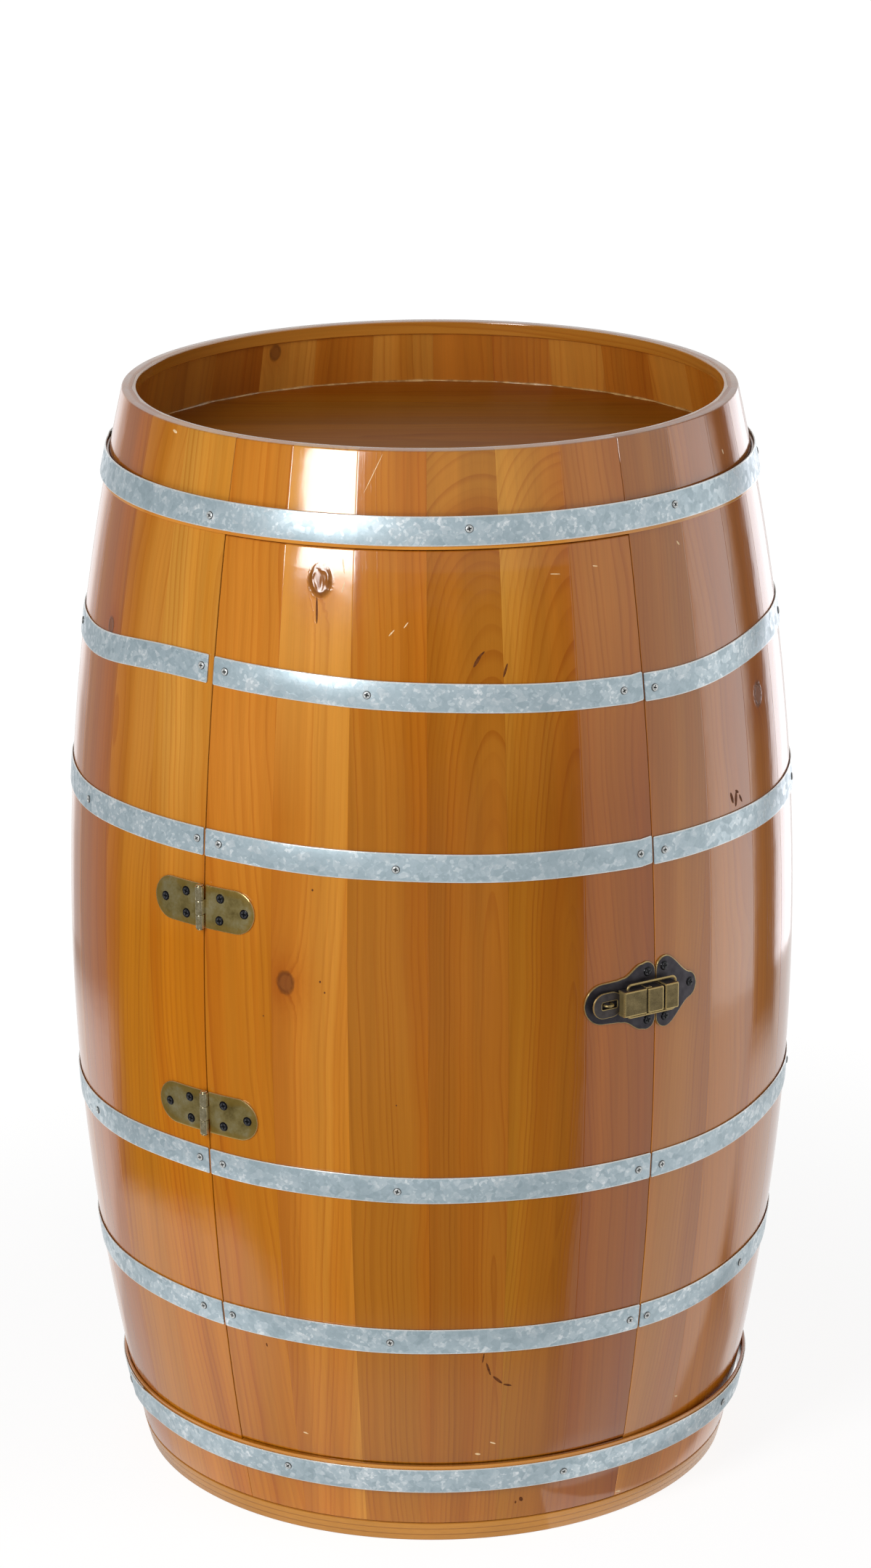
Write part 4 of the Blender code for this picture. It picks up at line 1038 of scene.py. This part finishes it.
def hinge_web(side, rise, low, high):
    """Where a leaf rises into its knuckle: a plate whose thickness grows towards the axis."""
    u = np.linspace(WEB_START, NOTCH + WEB_LAP, 8)[:, None]
    lift = KNUCKLE_RADIUS * smooth((NOTCH - u) / (NOTCH - WEB_START) * 1.2)
    v = (low + high) / 2 + (high - low) / 2 * PLATE_SHARE
    n = FIT + (LEAF_THICKNESS + lift) * PLATE_LEVEL
    return shell(on_barrel(HINGE_ANGLE, rise, side * u, v, n), edge=np.full((1, 1), WEB_EDGE))


def lathed(middle, radius, height):
    """Profile of radii and heights carried round an upright axis through a middle."""
    turn = np.linspace(0, 2 * np.pi, KNUCKLE_SIDES, endpoint=False)
    radius = np.reshape(radius, (-1, 1))
    height = np.reshape(height, (-1, 1))
    return middle + np.stack(np.broadcast_arrays(radius * np.cos(turn), radius * np.sin(turn), height), -1)


def knuckle(rise, low, high):
    """Rolled knuckle: a tube with rounded ends round the hinge's pin."""
    bore = PIN_RADIUS + FIT
    soft = np.array([1, 0.3, 0]) * KNUCKLE_ARRIS
    radius = np.concatenate([[bore, bore], KNUCKLE_RADIUS - soft, KNUCKLE_RADIUS - soft[::-1]])
    height = np.concatenate([[high, low], low + soft[::-1], high - soft])
    middle = around(HINGE_ANGLE, hinge_radius, rise)
    return shell(lathed(middle, radius, height), loop=True)


def draw_brass(k):
    """Antique brass: olive with a yellower border, clouded by handling and rubbed bright at its edges."""
    edge = k.field("edge", "Fac")
    point = k.place()
    cloud = point.noise(70.0, 4.0, 0.6)
    brush = point.noise(700.0, 2.0)
    border = (edge + cloud * 0.012).step(0.0060, 0.0020)
    worn = edge.step(0.0007, 0.0002)
    tone = cloud * 1.5 + 0.5 + brush * 0.3
    base = tone.ramp((0.15, (0.22, 0.160, 0.045)), (0.5, (0.45, 0.350, 0.130)), (0.85, (0.56, 0.50, 0.30)))
    base = base.mix(colour(0.46, 0.29, 0.050), border * 0.65)
    base = base.mix(colour(0.85, 0.66, 0.34), worn * 0.6)
    return {"Base Color": base, "Roughness": 0.34 + cloud * 0.2 - worn * 0.1 + brush * 0.08,
            "Normal": bumped(cloud + brush * 0.2, 0.00004)}


brass = finish("antique_brass", draw_brass, Metallic=0.75)


def draw_polished(k):
    """Brass rubbed bright by use, with fine wear."""
    wear = k.place().noise(500.0, 3.0)
    base = (wear + 0.5).ramp((0.2, (0.40, 0.33, 0.17)), (0.8, (0.74, 0.66, 0.44)))
    return {"Base Color": base, "Roughness": 0.16 + wear * 0.12}


polished = finish("rubbed_brass", draw_polished, Metallic=0.75)


def draw_black_screw(k):
    """Blackened steel, with a painted grey sheen in the middle and painted shade, darkest, in the recess and
    round the rim.
    """
    recess = k.field("recess", "Fac")
    ring = k.field("ring", "Fac")
    tone = k.place().noise(800.0, 2.0)
    base = (tone + 0.5).ramp((0.2, (0.012, 0.012, 0.015)), (0.8, (0.05, 0.05, 0.058)))
    # Painted sheen: the middle lightens to grey.
    base = base.mix(colour(0.07, 0.07, 0.07), ring.step(0.70, 0.45) * 0.6)
    # Painted shade: the recess and the rim go near black.
    base = base.mix(colour(0.003, 0.003, 0.004), recess.math("MAXIMUM", ring.step(0.62, 0.85)))
    return {"Base Color": base, "Roughness": 0.20 + tone * 0.15}


blackened = finish("blackened_steel", draw_black_screw, Specular_IOR_Level=0.25)
outer_span = (knuckle_half + FIT / 2, LEAF_HALF - FIT)
mirrored_span = (-outer_span[1], -outer_span[0])
inner_span = (-knuckle_half + FIT / 2, knuckle_half - FIT / 2)
for name, rise in HINGE_HEIGHTS.items():
    for side, body, kind, spans in ((-1, "carcass", "body", [outer_span, mirrored_span]),
                                    (1, "door", "door", [inner_span])):
        shells = [hinge_leaf(side, rise)]
        shells += [hinge_web(side, rise, low, high) for low, high in spans]
        piece(f"{name}_{kind}_leaf", shells, brass, body, "antique_brass", f"{name}_hinge_{kind}_leaf")
        rolls = [knuckle(rise, low, high) for low, high in spans]
        piece(f"{name}_{kind}_knuckles", rolls, polished, body, "antique_brass")
        angle = HINGE_ANGLE + side * HINGE_SCREWS[:, 0] / bow(rise)
        where = seat(angle, rise + HINGE_SCREWS[:, 1], FIT + LEAF_THICKNESS)
        heads = studs(*where, HINGE_SCREW_RADIUS, HINGE_SCREW_RISE, angle * 60)
        piece(f"{name}_{kind}_leaf_screws", [heads], blackened, body, "antique_brass")
    half = LEAF_HALF + FIT
    tip_turn = np.linspace(0.1, np.pi / 2, 6)
    tip_radius = PIN_TIP_RADIUS * np.sin(tip_turn)
    tip_height = half + PIN_TIP_HEIGHT * np.cos(tip_turn)
    radius = np.concatenate([tip_radius, [PIN_RADIUS, PIN_RADIUS], tip_radius[::-1]])
    height = np.concatenate([tip_height, [half, -half], -tip_height[::-1]])
    pin = shell(lathed(around(HINGE_ANGLE, hinge_radius, rise), radius, height))
    piece(f"{name}_pin", [pin], polished, "carcass", "antique_brass", f"{name}_hinge_pin")

# Latch: a toggle latch of darkened brass. A lever on the door's plate draws a wire bail over the catch on
# the body, and the lever's slotted tail lies over a padlock staple. The plates are bent to the barrel and
# screwed on.
LATCH_LIFT = 0.01075
LATCH_RISE = (SPLIT_HOOPS["upper_bilge"][0] + SPLIT_HOOPS["lower_bilge"][0]) / 2 + LATCH_LIFT
LATCH_DATUM = -0.016
LATCH_PLATE = 0.0012
WIRE_RADIUS = 0.0009
LATCH_SCREW_RADIUS = 0.0034
LATCH_SCREW_RISE = 0.0008
latch_angle = DOOR_HALF_ANGLE + LATCH_DATUM / bow(LATCH_RISE)
latch_side = around(latch_angle + np.pi / 2, 1.0, 0.0)
latch_out = around(latch_angle, 1.0, 0.0)
latch_origin = around(latch_angle, bow(LATCH_RISE), LATCH_RISE) - latch_side * LATCH_DATUM


def in_latch(u, v, n):
    """Points at distances along, up and out from the door's edge in the latch's own square axes."""
    u, v, n = [np.asarray(values, float)[..., None] for values in np.broadcast_arrays(u, v, n)]
    return latch_origin + latch_side * u + np.array([0, 0, 1.0]) * v + latch_out * n


def eased(u, points):
    """Half height of a plate along u: smooth rises and falls between (u, half height) points."""
    places, halves = np.transpose(points)
    step = np.clip(np.searchsorted(places, u, side="right") - 1, 0, len(places) - 2)
    share = smooth((u - places[step]) / (places[step + 1] - places[step]))
    return halves[step] + share * (halves[step + 1] - halves[step])


def lobe(u, centre_u, centre_v, radius):
    """Half height of a round lobe, and nothing past its sides."""
    inside = radius ** 2 - (u - centre_u) ** 2
    return np.where(inside > 0, centre_v + np.sqrt(np.maximum(inside, 0)), 0)


def latch_plate(u, half):
    """Plate with a half height for each u, bent to the barrel; edge is the distance from its outline."""
    slope = np.gradient(half, u)
    v = half[:, None] * PLATE_SHARE
    n = FIT + LATCH_PLATE * PLATE_LEVEL
    edge = (half[:, None] - np.abs(v)) / np.sqrt(1 + slope[:, None] ** 2)
    grid = on_barrel(DOOR_HALF_ANGLE, LATCH_RISE, u[:, None], v, n)
    return shell(grid, edge=edge[..., None], tone=np.zeros((1, 1)))


def block(u_low, u_high, half_v, n_low, n_high, corner=0.0006, inset=0.0011, middle_v=0.0, side=0.1,
          keep=1.0):
    """Box with soft edges: loops of its plan from the back to the front, then in over the front face.

    edge is 0 along the soft edges and 0.001 inside them, or less where less of the dark finish is kept,
    which widens the rubbed edge with its painted highlight. The side walls take the tone side: a low side is
    painted shade, and a high side is painted light on a wall that faces the key light.
    """
    half_u = (u_high - u_low) / 2
    turn = np.linspace(0, np.pi / 2, 3)
    arc_u = corner * (np.cos(turn) - 1)
    arc_v = corner * (np.sin(turn) - 1)
    quarter_u = np.concatenate([[0], arc_u, [-inset]])
    quarter_v = np.concatenate([[-inset], arc_v, [0]])
    quarter_u = half_u + quarter_u
    quarter_v = half_v + quarter_v
    plan_u = np.concatenate([quarter_u, -quarter_u[::-1], -quarter_u, quarter_u[::-1]])
    plan_v = np.concatenate([quarter_v, quarter_v[::-1], -quarter_v, -quarter_v[::-1]])
    flag = np.tile([1, 0, 0, 0, 1], 4)
    from_front = [inset, corner, 0.3 * corner, 0, 0]
    level = np.concatenate([[n_low], n_high - np.array(from_front)])[:, None]
    draw_in = np.array([0, 0, 0, 0.3 * corner, corner, inset])[:, None]
    row_flag = np.array([1, 1, 0, 0, 0, 1])[:, None]
    u = (u_low + u_high) / 2 + plan_u * (1 - draw_in / half_u)
    v = middle_v + plan_v * (1 - draw_in / half_v)
    edge = 0.001 * keep * row_flag * np.where(np.arange(6)[:, None] == 5, 1, flag)
    # Side walls are darkened as painted shade, unless side is high for painted light. The front is the khaki
    # face.
    tone = np.array([side, side, 0.5, 1, 1, 1])[:, None, None]
    return shell(in_latch(u, v, level), edge=edge[..., None], tone=tone)


def tube(path, binormal, radius, sides=10):
    """Round bar along a path that lies in one plane, square to the binormal."""
    along = np.gradient(path, axis=0)
    along /= np.linalg.norm(along, axis=1, keepdims=True)
    normal = np.cross(binormal, along)
    turn = np.linspace(0, 2 * np.pi, sides, endpoint=False)[:, None]
    return path[:, None] + radius * (np.cos(turn) * normal[:, None] + np.sin(turn) * binormal)


def arc(centre_u, centre_w, radius, start, end, steps=9):
    """Arc in a plane between two angles in degrees, as two arrays."""
    turn = np.radians(np.linspace(start, end, steps))
    return np.stack([centre_u + radius * np.cos(turn), centre_w + radius * np.sin(turn)])


def draw_bronze(k):
    """Darkened brass: near-black plates, box fronts rubbed to mottled khaki and side walls kept dark as
    painted shade, edges rubbed to bright brass with a painted highlight.
    """
    edge = k.field("edge", "Fac")
    face = k.field("tone", "Fac")
    point = k.place()
    grit = point.noise(1500.0, 3.0, 0.7)
    cloud = point.noise(150.0, 3.0)
    dark = (cloud + 0.5 + grit * 0.3).ramp((0.2, (0.030, 0.027, 0.034)), (0.8, (0.085, 0.078, 0.088)))
    khaki = (cloud * 0.8 + grit + 0.5).ramp((0.2, (0.085, 0.064, 0.026)), (0.8, (0.30, 0.23, 0.105)))
    # The bright edges are partly rubbed brass and partly a painted highlight. A low face tone on side walls
    # is painted shade.
    worn = (edge + grit * 0.0003).step(0.00085, 0.0002)
    base = dark.mix(khaki, face).mix(colour(0.62, 0.46, 0.19), worn * 0.85)
    return {"Base Color": base, "Roughness": 0.42 + grit * 0.15 - worn * 0.14,
            "Normal": bumped(grit, 0.00003)}


bronze = finish("dark_bronze", draw_bronze, Metallic=0.75)

# Door plate, from its round tail to the lobe at the door's edge: half heights along u
TAIL_U = -0.042
TAIL_RADIUS = 0.015
DOOR_LOBE_U = -0.0079
DOOR_LOBE_V = 0.0174
DOOR_LOBE_RADIUS = 0.0074
LOBE_MARGIN = 0.00001
LEAST_HALF = 0.0001
STAPLE_U = -0.040
STAPLE_RADIUS = 0.0031
DOOR_PLATE_HALVES = [
    (TAIL_U, 0.0150), (-0.032, 0.0155), (-0.027, 0.0163), (-0.0118, 0.0240), (DOOR_LOBE_U, 0.0248),
]
tail_turn = np.linspace(0.999 * np.pi / 2, 0, 16)
door_u = np.concatenate([TAIL_U - TAIL_RADIUS * np.sin(tail_turn), np.linspace(-0.0415, -0.0087, 24),
                         DOOR_LOBE_U + DOOR_LOBE_RADIUS * np.sin(np.linspace(0, np.pi / 2, 12))])
tail_half = np.sqrt(np.maximum(TAIL_RADIUS ** 2 - (door_u - TAIL_U) ** 2, LEAST_HALF ** 2))
lobe_half = lobe(door_u, DOOR_LOBE_U, DOOR_LOBE_V, DOOR_LOBE_RADIUS + LOBE_MARGIN)
door_half = np.where(door_u < DOOR_LOBE_U, eased(door_u, DOOR_PLATE_HALVES), lobe_half)
door_half = np.where(door_u < TAIL_U, tail_half, door_half)
housing = block(-0.0125, 0.0002, 0.0088, -0.0003, 0.0110)
lever_pin = tube(in_latch(-0.0106, np.linspace(-0.0100, 0.0100, 5), 0.0088), latch_out, 0.0006)
staple_u, staple_n = arc(STAPLE_U, 0.0025, STAPLE_RADIUS, 0, 180, 15)
staple_u = np.concatenate([[STAPLE_U + STAPLE_RADIUS], staple_u, [STAPLE_U - STAPLE_RADIUS]])
staple_n = np.concatenate([[0.0002], staple_n, [-0.0006]])
staple = tube(in_latch(staple_u, 0, staple_n), np.array([0, 0, 1.0]), WIRE_RADIUS)
PLAIN_EDGE = {"edge": np.full((1, 1), 0.0005), "tone": np.ones((1, 1))}
piece("latch_door_plate", [latch_plate(door_u, door_half), housing, shell(lever_pin, **PLAIN_EDGE),
                           shell(staple, **PLAIN_EDGE)], bronze, "door", "dark_bronze", "latch_plate")

# Catch plate, from its lobe at the door's edge to a round tip: half heights along u
CATCH_LOBE_U = 0.009
CATCH_LOBE_V = 0.0178
CATCH_LOBE_RADIUS = 0.0083
CATCH_TIP_U = 0.0330
TIP_CENTRE = 0.0296
TIP_RADIUS = 0.0080
TIP_STRETCH = 1.21
CATCH_PLATE_HALVES = [(CATCH_LOBE_U, 0.0261), (CATCH_TIP_U, 0.0092)]
catch_u = np.concatenate([CATCH_LOBE_U - CATCH_LOBE_RADIUS * np.cos(np.linspace(0, np.pi / 2, 12)),
                          np.linspace(0.0098, 0.0322, 24),
                          TIP_CENTRE + TIP_RADIUS * np.sin(np.linspace(0.36, 0.999, 14) * np.pi / 2)])
tip_half = np.sqrt(np.maximum(TIP_RADIUS ** 2 - (catch_u - TIP_CENTRE) ** 2, LEAST_HALF ** 2)) * TIP_STRETCH
lobe_half = lobe(catch_u, CATCH_LOBE_U, CATCH_LOBE_V, CATCH_LOBE_RADIUS + LOBE_MARGIN)
catch_half = np.where(catch_u < CATCH_TIP_U, eased(catch_u, CATCH_PLATE_HALVES), tip_half)
catch_half = np.where(catch_u < CATCH_LOBE_U, lobe_half, catch_half)
catch_block = block(0.0018, 0.0127, 0.0092, -0.0016, 0.0110)
piece("latch_body_plate", [latch_plate(catch_u, catch_half), catch_block], bronze, "carcass", "dark_bronze",
      "latch_catch")


def lever_channel():
    """Folded channel, open at its back: a U section carried along u, its front rounded at the far end."""
    half = 0.0090
    wall = 0.0012
    soft = 0.0005
    u = np.array([-0.0318, -0.0317, -0.0313, -0.0304, -0.0200, -0.0148, -0.0140, -0.0136])[:, None]
    front = np.array([0.0097, 0.0101, 0.0103, 0.0103, 0.0103, 0.0103, 0.0103, 0.0103])[:, None]
    back = np.array([0.0026, 0.0024, 0.0024, 0.0024, 0.0024, 0.0024, 0.0024, 0.0026])[:, None]
    inset = np.array([0, 0, 0, 0.3 * soft, soft, wall])
    inner = half - wall
    v = np.concatenate([inset - half, half - inset[::-1], [inner, inner, -inner, -inner]])
    corner = [np.inf, wall, soft, 0.3 * soft, 0, 0]
    from_front = np.array(corner + corner[::-1] + [np.inf, wall, wall, np.inf])
    flag = np.array([1, 1, 0, 0, 0, 1, 1, 0, 0, 0, 1, 1, 1, 1, 1, 1])
    n = np.where(np.isinf(from_front), back, front - from_front)
    row_flag = np.array([0, 0, 0, 1, 1, 1, 1, 1])[:, None]
    # The channel's side walls take a low tone, as painted shade.
    tone = np.array([0.1, 0.1, 0.5, 1, 1, 1, 1, 1, 1, 0.5, 0.1, 0.1, 0.1, 0.1, 0.1, 0.1])[:, None]
    return shell(in_latch(u, v, n), edge=(0.001 * flag * row_flag)[..., None], tone=tone)


def lever_tail():
    """Slotted tail: loops from its outer edge over the face to the slot and back underneath."""
    outer = rounded(0.0120, 0.0092, 0.0090, 10) + (-0.0410, 0)
    slot = rounded(0.0065, 0.00275, 0.0012, 10) + (-0.0395, 0)
    share = np.array([0, 0, 0.02, 0.09, 0.5, 0.9, 1.0, 1.0])[:, None, None]
    level = np.array([0.0024, 0.0032, 0.0036, 0.0036, 0.0036, 0.0036, 0.0034, 0.0024])[:, None]
    plan = outer + share * (slot - outer)
    edge = np.array([0, 0, 0, 0.001, 0.003, 0.001, 0, 0])[:, None, None] + np.zeros((1, len(outer), 1))
    grid = in_latch(plan[..., 0], plan[..., 1], level)
    return shell(grid, loop=True, edge=edge, tone=np.full((1, 1), 0.12))


# The end wall faces the key light: its high side tone and its wider bright edges are painted light.
end_wall = block(-0.0317, -0.0306, 0.0081, 0.0025, 0.0096, 0.0003, 0.0005, side=1.0, keep=0.55)
ears = [block(-0.0142, -0.0094, 0.0004, 0.0072, 0.0102, 0.0002, 0.0003, side * 0.0095) for side in (-1, 1)]
piece("latch_toggle", [lever_channel(), lever_tail(), end_wall, *ears], bronze, "latch_lever", "dark_bronze",
      "latch_lever")

# Wire bail: half of its path from the lever to the catch, then the same mirrored
BAIL_INNER_U = -0.0260
BAIL_OUTER_U = 0.0137
BAIL_HALF = 0.0118
BAIL_BEND = 0.003
BAIL_LEVEL = 0.0050
bail_start = [[BAIL_INNER_U], [0.0074]]
corner_in = arc(BAIL_INNER_U + BAIL_BEND, BAIL_HALF - BAIL_BEND, BAIL_BEND, 180, 90)
corner_out = arc(BAIL_OUTER_U - BAIL_BEND, BAIL_HALF - BAIL_BEND, BAIL_BEND, 90, 0)
upper = np.concatenate([bail_start, corner_in, corner_out], axis=1)
wire_u, wire_v = np.concatenate([upper, upper[:, ::-1] * [[1], [-1]]], axis=1)
bail = tube(in_latch(wire_u, wire_v, BAIL_LEVEL), latch_out, WIRE_RADIUS, 12)
piece("latch_wire", [shell(bail, edge=np.full((1, 1), 0.0004), tone=np.ones((1, 1)))], bronze, "latch_bail",
      "antique_brass", "latch_bail")

for body, name, places in (("door", "door", [(-0.0068, 0.0175), (-0.0068, -0.0175)]),
                           ("carcass", "body", [(0.0076, 0.0189), (0.0084, -0.0180), (0.0314, 0.0017)])):
    u, v = np.transpose(places)
    angle = DOOR_HALF_ANGLE + u / bow(LATCH_RISE)
    where = seat(angle, LATCH_RISE + v, FIT + LATCH_PLATE)
    heads = studs(*where, LATCH_SCREW_RADIUS, LATCH_SCREW_RISE, angle * 50)
    piece(f"latch_{name}_screws", [heads], blackened, body, "dark_bronze")

# Stage: a pale floor with a soft shadow, a white backdrop from the world, and studio softboxes.
# The lacquer mirrors a white studio at the right and behind, and a dark one in front and at the left.
FLOOR_TONE = 0.20
FLOOR_FILL = 0.62
SKY_FILL = 0.20
DARK_FLOOR = 0.03
DIM_WALL = 0.30
PAPER_EDGE = math.radians(46.5)
PAPER_CORNER = (0.105, -0.235)


def rays(k):
    """Whether a ray comes from the camera, and whether it is mirrored or has come through something."""
    seen = k.node("LightPath", output="Is Camera Ray")
    glossy = k.node("LightPath", output="Is Glossy Ray")
    through = k.node("LightPath", output="Is Transmission Ray")
    return seen, (glossy + through).math("MINIMUM", 1.0)


def studio(x, y):
    """How bright the studio is towards a direction: white paper past an edge at the right, white behind."""
    far = (x * x + y * y) ** 0.5
    back = y / far
    right = x.step(-0.02, 0.02)
    past_edge = ((x * math.cos(PAPER_EDGE) + y * math.sin(PAPER_EDGE)) / far).step(0.0, 0.05)
    on_right = past_edge * (0.45 + back.step(-0.75, 0.4) * 0.55) * (1 - back.step(0.53, 0.61) * 0.9)
    on_right = on_right + back.step(0.755, 0.82) * 0.9
    on_left = back.step(0.30, 0.70) * 0.40 + back.step(0.85, 0.90) * 0.60
    return on_right * right + on_left * (1 - right)


def stage_strength(seen, mirrored, camera_level, mirrored_level, fill):
    """Strength of a stage surface for the camera, for mirrored rays, and as fill for all the others."""
    return seen * camera_level + mirrored * mirrored_level + (1 - seen) * (1 - mirrored) * fill


floor_mesh = bpy.data.meshes.new("floor")
floor_mesh.from_pydata([(-9, -9, 0), (9, -9, 0), (9, 9, 0), (-9, 9, 0)], [], [(0, 1, 2, 3)])
floor = bpy.data.objects.new("floor", floor_mesh)
floor.location.z = -0.0002
bpy.context.scene.collection.objects.link(floor)
floor_finish = bpy.data.materials.new("pale_floor")
floor_finish.use_nodes = True
floor_finish.node_tree.nodes.clear()
k = Socket(floor_finish.node_tree)
seen, mirrored = rays(k)
x, y = k.place().split()[:2]
far = (x * x + y * y) ** 0.5
leftward = (x / far).step(-0.55, -0.85)
pool = far.step(0.56 + leftward * 0.12, 0.32 + leftward * 0.26) * (0.42 + leftward * 0.28)
paper = studio(x - PAPER_CORNER[0], y - PAPER_CORNER[1])
right = x.step(-0.02, 0.02)
behind = (y / far).step(0.20 - right * 0.15, 0.45 - right * 0.15)
behind = behind * far.step(1.35 - right * 0.20, 0.95 - right * 0.10)
mirrored_level = pool.math("MAXIMUM", paper).math("MAXIMUM", behind).math("MAXIMUM", DARK_FLOOR)
strength = stage_strength(seen, mirrored, 0.88 + far.step(0.3, 1.3) * 0.12, mirrored_level, FLOOR_FILL)
paint = k.node("BsdfDiffuse", None, {"Color": (1 - mirrored * 0.9) * FLOOR_TONE})
glow = k.node("Emission", None, {"Strength": strength})
k.node("OutputMaterial", None, {"Surface": k.node("AddShader", None, {0: paint, 1: glow})})
floor_mesh.materials.append(floor_finish)

world = bpy.data.worlds.new("studio")
bpy.context.scene.world = world
world.use_nodes = True
world.node_tree.nodes.clear()
k = Socket(world.node_tree)
seen, mirrored = rays(k)
x, y, z = k.node("TexCoord", output="Generated").split()
wall = z.step(0.06, 0.15) * x.step(-0.55, -0.15) * DIM_WALL
strength = stage_strength(seen, mirrored, 1.0, studio(x, y).math("MAXIMUM", wall), SKY_FILL)
backdrop = k.node("Background", None, {"Strength": strength, "Color": colour(1.0, 1.0, 1.0)})
k.node("OutputWorld", None, {"Surface": backdrop})


def softbox(name, azimuth, distance, low, high, width, radiance, card=False, fill=False, tint=(1, 1, 1)):
    """Upright area light facing the barrel's axis, of a width, between two heights, with an even radiance.

    A card shows only in the lacquer and the metal, and a fill shows in neither.
    """
    lamp = bpy.data.lights.new(name, "AREA")
    lamp.shape = "RECTANGLE"
    lamp.color = tint
    lamp.size = width
    lamp.size_y = high - low
    lamp.energy = radiance * math.pi * width * (high - low)
    holder = bpy.data.objects.new(name, lamp)
    turn = math.radians(azimuth)
    place = around(turn, distance, (low + high) / 2)
    holder.matrix_world = (Matrix.Translation(place) @ Matrix.Rotation(turn, 4, "Z")
                           @ Matrix.Rotation(math.pi / 2, 4, "X"))
    holder.visible_camera = False
    holder.visible_diffuse = not card
    holder.visible_glossy = not fill
    bpy.context.scene.collection.objects.link(holder)


COOL = (0.93, 0.93, 1.0)
softbox("key_box", -33.0, 2.2, 0.90, 2.10, 0.74, 12.6)
softbox("right_fill", 62, 2.2, 0.70, 1.90, 1.2, 2.0, fill=True)
softbox("low_fill", -8, 1.4, 0.0, 0.40, 1.4, 2.2, fill=True)
softbox("right_card", 101, 1.2, 0.0, 1.3, 0.48, 0.65, card=True)
softbox("right_rim_card", 140, 1.2, 0.0, 0.95, 0.50, 1.6, card=True, tint=COOL)

# Three left cards overlap, so that their light in the lacquer fades towards the floor
for name, low, radiance in (("high", 0.30, 0.40), ("middle", 0.14, 0.25), ("low", 0.0, 0.20)):
    softbox(f"left_{name}_card", -146, 1.22, low, 0.95, 0.40, radiance, card=True, tint=COOL)

# Camera: at the height and distance from which the photograph was taken, with a long lens.
# It looks down at the barrel, and its lens is shifted so that the barrel stands low in the picture.
PHOTO_HEIGHT = 2161
FOCAL_PIXELS = 6186.7
SENSOR = 36
CAMERA_AZIMUTH = 0.63
CAMERA_DISTANCE = 3.1229
CAMERA_HEIGHT = 1.4802
CAMERA_PITCH = 18.565
CAMERA_ROLL = -0.24
LENS_SHIFT_X = 0.0023
LENS_SHIFT_Y = 0.0578
camera_data = bpy.data.cameras.new("camera")
camera_data.sensor_width = SENSOR
camera_data.lens = FOCAL_PIXELS / PHOTO_HEIGHT * SENSOR
camera_data.shift_x = LENS_SHIFT_X
camera_data.shift_y = LENS_SHIFT_Y
camera = bpy.data.objects.new("camera", camera_data)
turn = math.radians(CAMERA_AZIMUTH)
camera.matrix_world = (Matrix.Translation(around(turn, CAMERA_DISTANCE, CAMERA_HEIGHT))
                       @ Matrix.Rotation(turn, 4, "Z")
                       @ Matrix.Rotation(math.radians(90 - CAMERA_PITCH), 4, "X")
                       @ Matrix.Rotation(math.radians(CAMERA_ROLL), 4, "Z"))
bpy.context.scene.collection.objects.link(camera)
bpy.context.scene.camera = camera
bpy.context.scene.view_settings.view_transform = "Standard"
